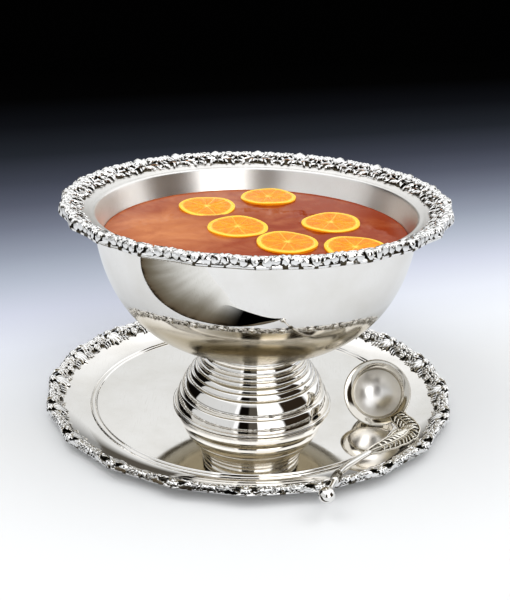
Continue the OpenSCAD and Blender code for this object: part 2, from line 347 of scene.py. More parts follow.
class Sheet:
    """A shader tree, with short calls that add nodes and join them."""

    def __init__(self, tree: bpy.types.NodeTree) -> None:
        """Starts on an empty tree."""
        self.tree = tree
        tree.nodes.clear()

    def add(self, kind: str, sockets: dict[str | int, object] | None = None,
            **settings: object) -> bpy.types.Node:
        """Adds one node.

        Args:
            kind: The node's type, without its ShaderNode prefix.
            sockets: What its inputs take: a plain value, or another node's output.
            settings: Its own properties.

        Returns:
            The new node.
        """
        prefix = "" if kind.startswith("NodeGroup") else "ShaderNode"
        node = self.tree.nodes.new(prefix + kind)
        for name, value in settings.items():
            setattr(node, name, value)
        for name, value in (sockets or {}).items():
            if isinstance(value, Socket):
                self.tree.links.new(value, node.inputs[name])
            else:
                node.inputs[name].default_value = value
        return node

    def ramp(self, value: Socket, stops: Sequence[tuple[float, Spot]]) -> Socket:
        """Colours along a value.

        Args:
            value: Where along the stops to read.
            stops: Each stop's place and its colour.

        Returns:
            The colour.
        """
        node = self.add("ValToRGB", {0: value})
        elements = node.color_ramp.elements
        while len(elements) < len(stops):
            elements.new(0.5)
        for element, (place, colour) in zip(elements, stops):
            element.position = place
            element.color = (*colour, 1)
        return node.outputs[0]

    def join(self, node: bpy.types.Node, **sockets: bpy.types.NodeSocket) -> None:
        """Joins outputs to a node's inputs.

        Args:
            node: The node they go to.
            sockets: What each input takes, underscores for spaces.
        """
        for name, value in sockets.items():
            self.tree.links.new(value, node.inputs[name.replace("_", " ")])

    def noise(self, where: Socket, scale: float, detail: float = 3, rough: float = 0.55) -> Socket:
        """A noise value, from 0 to 1, at a scale in parts per metre."""
        sockets = {"Vector": where, "Scale": scale, "Detail": detail, "Roughness": rough}
        return self.add("TexNoise", sockets).outputs["Fac"]

    def bump(self, strength: float, deep: float, height: Socket) -> Socket:
        """The normal of a surface bumped by a height, as deep as given, in metres."""
        return self.add("Bump", {"Strength": strength, "Distance": deep, "Height": height}).outputs[0]

    def spread(self, value: Socket, low: object, high: object, from_low: float = 0.0,
               from_high: float = 1.0) -> Socket:
        """A value carried from one range to another, and held inside it."""
        return self.add("MapRange", {0: value, 1: from_low, 2: from_high, 3: low, 4: high}).outputs[0]

    def sums(self, how: str, a: object, b: object, clamp: bool = False) -> Socket:
        """Two values put together by a Math node."""
        return self.add("Math", {0: a, 1: b}, operation=how, use_clamp=clamp).outputs[0]

    def blend(self, share: Socket, a: Socket | Spot, b: Socket | Spot) -> Socket:
        """Two colours mixed by a share."""
        first, second = (c if isinstance(c, Socket) else (*c, 1) for c in (a, b))
        return self.add("Mix", {0: share, 6: first, 7: second}, data_type="RGBA").outputs[2]

    def spot(self) -> Socket:
        """Where on the piece the surface is, in metres."""
        return self.add("TexCoord").outputs["Object"]

    def mark(self, name: str) -> Socket:
        """A value stored on the mesh."""
        return self.add("Attribute", attribute_name=name).outputs["Fac"]


class Finish:
    """A finish: a material with one Principled shader."""

    name: str

    def plain(self) -> dict[str, object]:
        """Values of the shader's sockets that are the same all over."""
        return {}

    def dress(self, sheet: Sheet, shader: bpy.types.Node) -> None:
        """Adds the finish's own nodes to the shader."""
        raise NotImplementedError

    def material(self) -> bpy.types.Material:
        """The finish as a material, with its plain values on the shader's own sockets.

        Returns:
            The material.
        """
        material = bpy.data.materials.new(self.name)
        material.use_nodes = True
        sheet = Sheet(material.node_tree)
        shader = sheet.add("BsdfPrincipled", self.plain())
        sheet.add("OutputMaterial", {"Surface": shader.outputs[0]})
        self.dress(sheet, shader)
        return material


def group(name: str, inputs: dict[str, float],
          outputs: Sequence[str]) -> tuple[bpy.types.NodeTree, Sheet, bpy.types.Node]:
    """Starts a shared effect.

    Args:
        name: The group's name.
        inputs: Its number inputs and their starting values.
        outputs: Its number outputs.

    Returns:
        The group's tree, its sheet and its input node.
    """
    tree = bpy.data.node_groups.new(name, "ShaderNodeTree")
    for socket, value in inputs.items():
        tree.interface.new_socket(socket, in_out="INPUT", socket_type="NodeSocketFloat").default_value = value
    for socket in outputs:
        tree.interface.new_socket(socket, in_out="OUTPUT", socket_type="NodeSocketFloat")
    sheet = Sheet(tree)
    return tree, sheet, sheet.add("NodeGroupInput")


def handling_wear() -> bpy.types.NodeTree:
    """Fine wiping marks, haze and small dents on handled metal, as a shared effect.

    Returns:
        The effect's tree.
    """
    tree, sheet, given = group("handling_wear", {"Haze": 0.05, "Shine": 0.02, "Wipe Scale": 900.0},
                               ["Roughness", "Height", "Haze Mask"])
    spot = sheet.spot()
    broad = sheet.noise(spot, 14, 4, 0.6)
    stretched = sheet.add("Mapping", {"Vector": spot, "Rotation": (0.4, 0.2, 0.9), "Scale": (1, 0.06, 0.3)})
    wipes = sheet.add("TexNoise", {"Vector": stretched.outputs[0], "Scale": given.outputs["Wipe Scale"],
                                   "Detail": 2.0})
    fine = sheet.spread(wipes.outputs["Fac"], 0.0, 1.0, 0.56, 0.74)
    haze = sheet.spread(broad, 0.0, 1.0, 0.42, 0.7)
    mask = sheet.sums("MAXIMUM", haze, sheet.sums("MULTIPLY", fine, 0.7))
    rough = sheet.spread(mask, given.outputs["Shine"], given.outputs["Haze"])
    dents = sheet.noise(spot, 55, 2)
    height = sheet.sums("ADD", sheet.sums("MULTIPLY", fine, 0.12), dents)
    sheet.add("NodeGroupOutput", {"Roughness": rough, "Height": height, "Haze Mask": mask})
    return tree


def pulp_grain() -> bpy.types.NodeTree:
    """The cells and drifting pulp of cut orange and its juice, as a shared effect.

    Returns:
        The effect's tree.
    """
    tree, sheet, given = group("pulp_grain", {"Cell Scale": 600.0, "Drift Scale": 30.0}, ["Cells", "Drift"])
    spot = sheet.spot()
    cells = sheet.add("TexVoronoi", {"Vector": spot, "Scale": given.outputs["Cell Scale"]})
    drift = sheet.add("TexNoise", {"Vector": spot, "Scale": given.outputs["Drift Scale"], "Detail": 5.0,
                                   "Roughness": 0.62, "Distortion": 0.6})
    sheet.add("NodeGroupOutput", {"Cells": sheet.spread(cells.outputs["Distance"], 1.0, 0.0, 0.0, 0.7),
                                  "Drift": drift.outputs["Fac"]})
    return tree


class Shared:
    """The shared effects, each made once."""

    made: dict[str, bpy.types.NodeTree] = {}

    @classmethod
    def place(cls, sheet: Sheet, effect: Callable[[], bpy.types.NodeTree], **values: float) -> bpy.types.Node:
        """Places a shared effect in a material.

        Args:
            sheet: The material's tree.
            effect: Makes the effect.
            values: Its inputs, underscores for spaces.

        Returns:
            The group node.
        """
        if effect.__name__ not in cls.made:
            cls.made[effect.__name__] = effect()
        node = sheet.add("Group", node_tree=cls.made[effect.__name__])
        for name, value in values.items():
            node.inputs[name.replace("_", " ")].default_value = value
        return node


@dataclass(frozen=True)
class PolishedMetal(Finish):
    """Turned and buffed sheet: mirror polish at a relief of 1, tarnished at a half, and satin at 0."""

    name: str
    bright: Spot = (0.93, 0.905, 0.862)
    dull: Spot = (0.85, 0.82, 0.765)
    shine: float = 0.015
    haze: float = 0.06
    dent: float = 0.00002
    satin: float = 0.31
    stain: Spot = (0.4, 0.35, 0.25)

    def plain(self) -> dict[str, object]:
        """Values that are the same all over: bare metal."""
        return {"Metallic": 1.0}

    def dress(self, sheet: Sheet, shader: bpy.types.Node) -> None:
        """Adds wear, the tarnish and the satin.

        Args:
            sheet: The material's tree.
            shader: Its shader.
        """
        wear = Shared.place(sheet, handling_wear, Haze=self.haze, Shine=self.shine)
        tint = sheet.blend(wear.outputs["Haze Mask"], self.bright, self.dull)
        tarnish = sheet.sums("PINGPONG", sheet.sums("MULTIPLY", sheet.mark("relief"), 2.0), 1.0)
        rough = sheet.spread(sheet.mark("relief"), self.satin, wear.outputs["Roughness"])
        sheet.join(shader, Base_Color=sheet.blend(tarnish, tint, self.stain), Roughness=rough,
                   Normal=sheet.bump(0.35, self.dent, wear.outputs["Height"]))


@dataclass(frozen=True)
class CastSilver(Finish):
    """Cast ornament, bright on its crowns and dark with tarnish in its hollows."""

    name: str
    bright: Spot = (0.93, 0.915, 0.885)
    dark: Spot = (0.085, 0.07, 0.045)
    edge: float = 0.3
    patches: float = 0.0

    def plain(self) -> dict[str, object]:
        """Values that are the same all over: bare metal."""
        return {"Metallic": 1.0}

    def dress(self, sheet: Sheet, shader: bpy.types.Node) -> None:
        """Adds the tarnish, which starts below the edge's relief and gathers in patches.

        Args:
            sheet: The material's tree.
            shader: Its shader.
        """
        wear = Shared.place(sheet, handling_wear, Haze=0.13, Shine=0.05, Wipe_Scale=1500.0)
        grit = sheet.noise(sheet.spot(), 420, 4, 0.7)
        depth = sheet.sums("ADD", sheet.mark("relief"), sheet.spread(grit, -0.16, 0.16, 0.3, 0.7))
        broad = sheet.noise(sheet.spot(), 85, 2)
        gathered = sheet.spread(broad, -self.patches, self.patches * 0.6, 0.38, 0.62)
        crown = sheet.spread(sheet.sums("ADD", depth, gathered), 0.0, 1.0, self.edge - 0.14, self.edge + 0.12)
        rough = sheet.sums("MAXIMUM", wear.outputs["Roughness"], sheet.spread(crown, 0.4, 0.05))
        sheet.join(shader, Base_Color=sheet.blend(crown, self.dark, self.bright), Roughness=rough,
                   Normal=sheet.bump(0.5, 0.0001, grit))


@dataclass(frozen=True)
class FruitPunch(Finish):
    """Red and orange juice with a little pulp in it, opaque by its depth, and paler towards one side in a
    painted reflection.
    """

    name: str = "fruit_punch"
    deep: Spot = (0.27, 0.036, 0.001)
    # The pale tone is reached by drifting pulp, and by the painted reflections on one side and in one pool.
    pale: Spot = (0.58, 0.22, 0.08)
    pulp: Spot = (0.55, 0.2, 0.07)
    # Painted reflection: the direction towards which the punch is painted paler.
    reflection_side: Spot = (-1.0, 0.1, 0.0)
    # Painted reflection: where the pale pool lies and how small it is.
    reflection_pool_shift: Spot = (1.05, 0.22, 0)
    reflection_pool_scale: Spot = (13.3, 16.7, 0)

    def plain(self) -> dict[str, object]:
        """Values that are the same all over: a still, wet surface."""
        return {"Roughness": 0.06, "IOR": 1.34, "Specular IOR Level": 0.15}

    def dress(self, sheet: Sheet, shader: bpy.types.Node) -> None:
        """Adds drifting pulp, and two painted reflections: the paler side and a pale pool.

        Args:
            sheet: The material's tree.
            shader: Its shader.
        """
        pulp = Shared.place(sheet, pulp_grain, Cell_Scale=420.0, Drift_Scale=26.0)
        drift = sheet.spread(pulp.outputs["Drift"], -0.2, 0.2, 0.36, 0.66)
        # Painted reflection: the punch is painted paler towards one side.
        side = sheet.add("VectorMath", {0: sheet.spot(), 1: self.reflection_side}, operation="DOT_PRODUCT")
        share = sheet.spread(side.outputs["Value"], 0.02, 0.34, -0.11, 0.11)
        gathered = sheet.sums("ADD", drift, share, clamp=True)
        # Painted reflection: a pale pool painted round one spot on the surface.
        near = sheet.add("Mapping", {"Vector": sheet.spot(), "Location": self.reflection_pool_shift,
                                     "Scale": self.reflection_pool_scale})
        away = sheet.add("VectorMath", {0: near.outputs[0]}, operation="LENGTH").outputs["Value"]
        gathered = sheet.sums("ADD", gathered, sheet.spread(away, 0.46, 0.0, 0.6, 1.15), clamp=True)
        specks = sheet.spread(pulp.outputs["Cells"], 0.0, 0.35, 0.9, 1.0)
        tint = sheet.blend(specks, sheet.blend(gathered, self.deep, self.pale), self.pulp)
        sheet.join(shader, Base_Color=tint, Normal=sheet.bump(0.25, 0.0004, pulp.outputs["Drift"]))


@dataclass(frozen=True)
class OrangeRind(Finish):
    """Dimpled orange peel outside, and pale pith where it is cut."""

    name: str = "orange_rind"
    peel: Spot = (0.9, 0.34, 0.006)
    pith: Spot = (0.98, 0.6, 0.06)

    def plain(self) -> dict[str, object]:
        """Values that are the same all over: waxy, and a little clear."""
        return {"Roughness": 0.34, "IOR": 1.45, "Specular IOR Level": 0.3, "Subsurface Weight": 0.12,
                "Subsurface Radius": (0.003, 0.001, 0.0004), "Subsurface Scale": 1.0}

    def dress(self, sheet: Sheet, shader: bpy.types.Node) -> None:
        """Adds the cut's pith and the peel's pores.

        Args:
            sheet: The material's tree.
            shader: Its shader.
        """
        spot = sheet.spot()
        cut = sheet.sums("ADD", sheet.mark("cut"), sheet.spread(sheet.noise(spot, 240), -0.2, 0.2))
        tint = sheet.blend(sheet.spread(cut, 0.0, 1.0, 0.35, 0.75), self.peel, self.pith)
        pores = sheet.add("TexVoronoi", {"Vector": spot, "Scale": 700.0})
        sheet.join(shader, Base_Color=tint, Normal=sheet.bump(0.6, 0.00035, pores.outputs["Distance"]))


@dataclass(frozen=True)
class OrangeFlesh(Finish):
    """Wet juice sacs between pale membranes."""

    name: str = "orange_flesh"
    deep: Spot = (0.8, 0.2, 0.002)
    light: Spot = (0.92, 0.38, 0.006)
    membrane: Spot = (1.0, 0.72, 0.13)

    def plain(self) -> dict[str, object]:
        """Values that are the same all over: wet, and a little clear."""
        return {"Roughness": 0.2, "IOR": 1.36, "Specular IOR Level": 0.3, "Subsurface Weight": 0.15,
                "Subsurface Radius": (0.004, 0.0015, 0.0004), "Subsurface Scale": 1.0}

    def dress(self, sheet: Sheet, shader: bpy.types.Node) -> None:
        """Adds the sacs and the membranes.

        Args:
            sheet: The material's tree.
            shader: Its shader.
        """
        pulp = Shared.place(sheet, pulp_grain, Cell_Scale=560.0, Drift_Scale=120.0)
        share = sheet.sums("ADD", sheet.sums("MULTIPLY", pulp.outputs["Cells"], 0.5),
                           sheet.spread(pulp.outputs["Drift"], 0.0, 0.6, 0.35, 0.65))
        juice = sheet.blend(share, self.deep, self.light)
        tint = sheet.blend(sheet.mark("membrane"), juice, self.membrane)
        sheet.join(shader, Base_Color=tint, Normal=sheet.bump(0.5, 0.0005, pulp.outputs["Cells"]))


# ---------------------------------------------------------------- ornament


class Facing(Enum):
    """Which edge of a border an ornament opens towards."""

    INWARD = -1
    OUTWARD = 1


@dataclass
class Carver:
    """Raises one unit of ornament on a flat strip: u along it, v from its inner edge out, h up."""

    rng: np.random.Generator
    draft: Draft = field(default_factory=Draft)

    def jitter(self, share: float = 0.06) -> float:
        """A factor near 1."""
        return float(1 + self.rng.uniform(-share, share))

    def shell(self, u: float, v: float, reach: float, spread: float, ribs: int, facing: Facing,
              high: float) -> None:
        """A fan of ribs from a knob.

        Args:
            u: Where the knob is, along the strip.
            v: Where the knob is, across the strip.
            reach: Length of the middle rib.
            spread: Half the fan's angle, in degrees.
            ribs: How many ribs.
            facing: Which edge the fan opens towards.
            high: Height of the ribs' crowns.
        """
        t = np.linspace(0, 1, 8)
        width = np.array([0.3, 0.5, 0.68, 0.84, 0.97, 1.0, 0.8, 0.3])
        half = math.radians(spread)
        for angle in np.linspace(-half, half, ribs):
            long = reach * (1 - 0.26 * (angle / half) ** 2) * self.jitter(0.04)
            path = np.stack([u + math.sin(angle) * long * t,
                             v + facing.value * math.cos(angle) * long * t,
                             high * (0.35 + 0.65 * np.sin(t * 2.3)) - 0.5 * high * t**3], -1)
            fan = 1.12 * long * half * 2 / ribs / 2
            self.draft.bar(path, fan * width, 0.62 * fan * width, 6, sunk=0.05)
        self.draft.bead((u, v - facing.value * 0.6, high * 0.8), 0.17 * reach, 0.8)

    def scroll(self, start: Point, eye: Point, curl: float, side: int, thick: float, high: float) -> None:
        """A C-scroll that runs from start and curls round its eye.

        Args:
            start: Its tail, as u and v.
            eye: The middle of its curl.
            curl: The curl's first radius.
            side: 1, or -1 to curl the other way.
            thick: Half its thickness.
            high: Height of its crown.
        """
        turn = np.linspace(0, 1, 15)
        angle = np.pi * (0.5 + side * -0.1) + side * -turn * 2.9 * np.pi / 1.7
        radius = curl * (1 - 0.72 * turn)
        round_eye = np.stack([eye[0] + radius * np.cos(angle), eye[1] + radius * np.sin(angle)], -1)
        tail = np.linspace(0, 1, 8, endpoint=False)[:, None]
        bow = np.array([0, curl * 0.7]) * np.sin(tail * np.pi)
        lead = np.array(start) * (1 - tail) + round_eye[0] * tail + bow
        flat = np.vstack([lead, round_eye])
        rise = high * np.concatenate([np.linspace(0.35, 0.75, 8), np.linspace(0.75, 1.0, 15)])
        width = thick * np.concatenate([np.linspace(0.4, 1.25, 8), np.linspace(1.25, 0.55, 15)])
        self.draft.bar(np.column_stack([flat, rise]), width, width * 1.1, 7, sunk=0.0)
        self.draft.bead((eye[0], eye[1], high * 0.95), curl * 0.3)

    def leaf(self, start: Point, end: Point, lobes: int, width: float, high: float, bow: float = 0.0) -> None:
        """An acanthus leaf: a vein with lobes to both sides.

        Args:
            start: Its foot, as u and v.
            end: Its tip.
            lobes: How many lobes on each side.
            width: Half its width at its widest.
            high: Height of its crown.
            bow: How far its vein bends to one side.
        """
        t = np.linspace(0, 1, 9)
        a, b = np.array(start, float), np.array(end, float)
        way = (b - a) / np.linalg.norm(b - a)
        across = np.array([-way[1], way[0]])
        vein = a + np.outer(t, b - a) + np.outer(np.sin(t * np.pi) * bow, across)
        rise = high * (0.4 + 0.6 * np.sin(np.pi * (0.15 + 0.75 * t)))
        thin = width * (1.2 - t)
        self.draft.bar(np.column_stack([vein, rise]), 0.16 * thin, 0.3 * thin, 6, sunk=0.1)
        s = np.linspace(0, 1, 6)
        swell = np.array([0.45, 0.85, 1.0, 0.95, 0.7, 0.2])
        for n in range(lobes):
            share = (n + 0.4) / lobes
            foot = a + (b - a) * share + across * bow * math.sin(share * math.pi)
            size = width * (0.55 + 0.55 * math.sin(math.pi * (0.2 + 0.7 * share))) * self.jitter(0.1)
            for side in (-1, 1):
                to = foot + way * size * 0.75 + across * side * size
                curve = np.outer(np.sin(s * np.pi) * size * 0.18 * side, across)
                lobe = foot + np.outer(s, to - foot) + curve
                lift = high * (0.75 * (1 - 0.45 * share)) * (0.55 + 0.6 * np.sin(s * 2.2))
                self.draft.bar(np.column_stack([lobe, lift]), size * 0.24 * swell, size * 0.2 * swell, 6,
                               sunk=0.05)

    def flower(self, u: float, v: float, radius: float, petals: int, high: float) -> None:
        """A flower: round petals about a bead.

        Args:
            u: Where its middle is, along the strip.
            v: Where its middle is, across the strip.
            radius: How far its petals reach.
            petals: How many petals.
            high: Height of its crown.
        """
        turn = self.rng.uniform(0, 2 * np.pi)
        s = np.linspace(0.18, 1, 6)
        swell = np.array([0.5, 0.85, 1.0, 1.0, 0.78, 0.25])
        for angle in turn + np.arange(petals) / petals * 2 * np.pi:
            path = np.stack([u + radius * s * math.cos(angle), v + radius * s * math.sin(angle),
                             high * (0.6 + 0.4 * np.sin(s * 2.4))], -1)
            wide = radius * math.sin(math.pi / petals) * 0.85 * swell
            self.draft.bar(path, wide, 0.55 * wide, 6, sunk=0.05)
        self.draft.bead((u, v, high), radius * 0.3)

    def pebble(self, u: float, v: float, radius: float, high: float) -> None:
        """A low round lump, a little longer one way than the other.

        Args:
            u: Where its middle is, along the strip.
            v: Where its middle is, across the strip.
            radius: Half its width.
            high: Height of its crown.
        """
        long = radius * self.jitter(0.2)
        heading = self.rng.uniform(0, math.pi)
        s = np.linspace(-1, 1, 7)
        path = np.stack([u + long * 0.95 * s * math.cos(heading), v + long * 0.95 * s * math.sin(heading),
                         high * (1 - 0.4 * s**2)], -1)
        swell = radius * np.sqrt(np.maximum(1 - s**2, 0.03))
        self.draft.bar(path, swell, 0.8 * swell, 8, sunk=0.05)


@dataclass
class Border:
    """A cast border that runs round a rim: a scalloped band with units of ornament raised on it."""

    name: str
    inner: float
    outer: float
    count: int
    seat: Callable[[Array], Array]
    centre: Point
    drop: float
    crown: float
    seed: int
    dip: float = 4.6
    steps: int = 30
    low_row: int = 8

    @property
    def unit(self) -> float:
        """Length of one unit of ornament along the middle of the band."""
        return 2 * math.pi * (self.inner + self.outer) / 2 / self.count

    def edge(self, turn: Array) -> Array:
        """Radius of the scalloped outer edge at each angle."""
        return self.outer - 1.4 - self.dip * np.abs(np.sin(turn * self.count / 2)) ** 1.4

    def place(self, strip: Array, number: float) -> Array:
        """Points of the flat strip carried onto the rim.

        Args:
            strip: Points as u, v and h.
            number: Which unit they belong to.

        Returns:
            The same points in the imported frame, in millimetres.
        """
        turn = (number + strip[:, 0] / self.unit) * 2 * np.pi / self.count
        share = strip[:, 1] / (self.outer - self.inner)
        pull = (self.outer - 1.4 - self.edge(turn)) * np.clip(share, 0, 1.1) ** 2 * 0.8
        tuck = 2.5 * np.maximum(share - 0.92, 0) * (self.outer - self.inner) * 0.3
        r = self.inner + strip[:, 1] - pull - tuck
        return circling(r, turn, self.seat(r) + self.dome(share) + strip[:, 2], self.centre)

    def dome(self, share: Array) -> Array:
        """How far the band's face stands off its seat at a share of its width."""
        return np.interp(share, [-0.4, 0, 0.1, 0.3, 0.55, 0.75, 0.88, 0.97, 1.04],
                         [0, 0.2, 0.9, 1.6, 1.8, 1.3, 0.2, -0.35 * self.drop, -0.75 * self.drop])

    def band(self, draft: Draft) -> None:
        """Adds the scalloped band that the ornament stands on, with dark notches of painted shade under its
        edge.

        Args:
            draft: The border's form so far.
        """
        around = self.count * self.steps
        turn = ring_angles(around)
        out = self.edge(turn)
        ins = self.inner + 0.7 * np.sin(turn * self.count * 3)
        across = (0.0, 0.05, 0.12, 0.3, 0.45, 0.6, 0.75, 0.88, 0.95)
        face = [(share, float(self.dome(share))) for share in across]
        roll = [(share, part * self.drop) for share, part in
                ((0.99, -0.42), (1.0, -0.7), (0.985, -0.92), (0.93, -1.0), (0.8, -0.8))]
        section = [(0.0, -0.3), *face, *roll, (0.62, -0.5)]
        radii = [(ins + (out - ins) * share, high) for share, high in section]
        rows = [circling(r, turn, self.seat(r) + high, self.centre) for r, high in radii]
        shade = np.array([0.1, 0.3, 0.25, 0.12, 0.1, 0.1, 0.1, 0.14, 0.3, 0.6, 0.9, 1.0, 0.9, 0.8, 0.7, 0.6])
        # Painted shade: dark spots in the gaps between the lumps on the band's underside, stronger in some
        # stretches of the ring than in others.
        painted_gap_shade = np.clip(np.abs(np.sin(turn * self.count * 2)) * 2.2 - 0.5
                        + 0.8 * np.sin(turn * 7) * np.sin(turn * 11 + 1), 0.08, 1)
        low = (np.arange(len(rows)) >= self.low_row)[:, None]
        relief = (shade[:, None] * np.where(low, painted_gap_shade, 1)).reshape(-1)
        draft.add(np.vstack(rows), ring_faces(len(rows), around), relief)

    def build(self, carve: Callable[[Carver, Border], None]) -> Draft:
        """The whole border.

        Args:
            carve: Raises the ornament of one unit.

        Returns:
            The border's form.
        """
        draft = Draft()
        self.band(draft)
        rng = np.random.default_rng(self.seed)
        for number in range(self.count):
            carver = Carver(rng)
            carve(carver, self)
            strip = np.vstack(carver.draft.points)
            draft.add(self.place(strip, number), carver.draft.faces, np.concatenate(carver.draft.relief))
        return draft


# ---------------------------------------------------------------- sub-assemblies


@dataclass
class Tray:
    """The round tray: a flat well inside two ridges, a raised flange and a cast border."""

    thick: float = 1.6
    ridge: float = 169.0
    ridge_wide: float = 2.6
    ridge_gap: float = 2.4
    ridge_high: float = 1.5
    flange: float = 176.6
    edge: float = 218.0
    rise: float = 12.0
    tips: float = 226.0
    border_wide: float = 20.0
    lobes: int = 20

    def top(self, r: Array) -> Array:
        """Height of the flange's upper face at radius r."""
        share = np.clip((np.asarray(r, float) - self.flange) / (self.edge - self.flange), 0, 1.12)
        return self.thick + self.rise * share**1.5

    def plate(self) -> Draft:
        """The spun sheet: well, ridges and flange.

        Returns:
            The sheet's form.
        """
        outline: list[Point] = [(0, self.thick), (40, self.thick), (100, self.thick), (150, self.thick),
                                (self.ridge - 0.3, self.thick)]
        for start in (self.ridge, self.ridge + self.ridge_wide + self.ridge_gap):
            for s in np.linspace(0, 1, 13):
                outline.append((start + self.ridge_wide * s,
                                self.thick + self.ridge_high * math.sin(math.pi * s) ** 1.1))
        radii = np.linspace(self.flange + 0.4, self.edge, 40)
        outline += list(zip(radii, self.top(radii)))
        outline.append((self.edge + 0.7, float(self.top(self.edge)) - self.thick / 2))
        outline += list(zip(radii[::-1], self.top(radii[::-1]) - self.thick))
        outline += [(self.flange, 0.0), (150, 0.0), (0, 0.0)]
        return turned(outline, around=360)

    @staticmethod
    def carve(carver: Carver, border: Border) -> None:
        """Raises one unit of the tray's border: an inward shell, scrolls, flowers and an outward shell.

        Args:
            carver: Raises the ornament.
            border: The border that it stands on.
        """
        half, wide, crown = border.unit / 2, border.outer - border.inner, border.crown
        lean = carver.rng.uniform(-0.8, 0.8)
        carver.shell(lean, wide * 0.6, 17.0 * carver.jitter(), 52, 5, Facing.INWARD, crown * 0.85)
        carver.shell(lean, wide * 0.66, 7.6 * carver.jitter(), 78, 5, Facing.OUTWARD, crown * 0.8)
        carver.shell(half, wide * 0.46, 11.0 * carver.jitter(), 66, 5, Facing.OUTWARD, crown)
        carver.flower(half, wide * 0.14, 4.8, 5, crown * 0.8)
        for side in (-1, 1):
            carver.scroll((side * 7, wide * 0.9), (side * 15, wide * 0.55), 5.2 * carver.jitter(), side, 1.9,
                          crown)
            carver.leaf((side * 8, wide * 0.2), (side * 21, wide * 0.04), 3, 4.9, crown * 0.75, side * 1.2)
            carver.flower(side * (half - 11), wide * 0.56, 5.2 * carver.jitter(), 5, crown)
            carver.leaf((side * 18, wide * 0.88), (side * (half - 5), wide * 0.98), 3, 4.0, crown * 0.8,
                        side * -0.6)
            carver.pebble(side * 11.5, wide * 0.98, 2.4, crown * 0.5)
            carver.pebble(side * 17, wide * 0.94, 2.6, crown * 0.5)
            carver.pebble(side * (half - 7), wide * 0.28, 2.3, crown * 0.6)
            carver.pebble(side * 22, wide * 0.26, 2.0, crown * 0.6)

    def build(self, silver: bpy.types.Material, cast: bpy.types.Material) -> None:
        """Makes the tray's two pieces.

        Args:
            silver: The sheet's finish.
            cast: The border's finish.
        """
        make_piece("Tray_sheet", self.plate(), silver, "tray", ["tray_plate"])
        border = Border("tray", self.tips - self.border_wide, self.tips, self.lobes, self.top, (0, 0),
                        drop=3.2, crown=3.3, seed=11)
        make_piece("Tray_cast_border", border.build(self.carve), cast, "tray", ["tray_border"],
                   sharp=60)


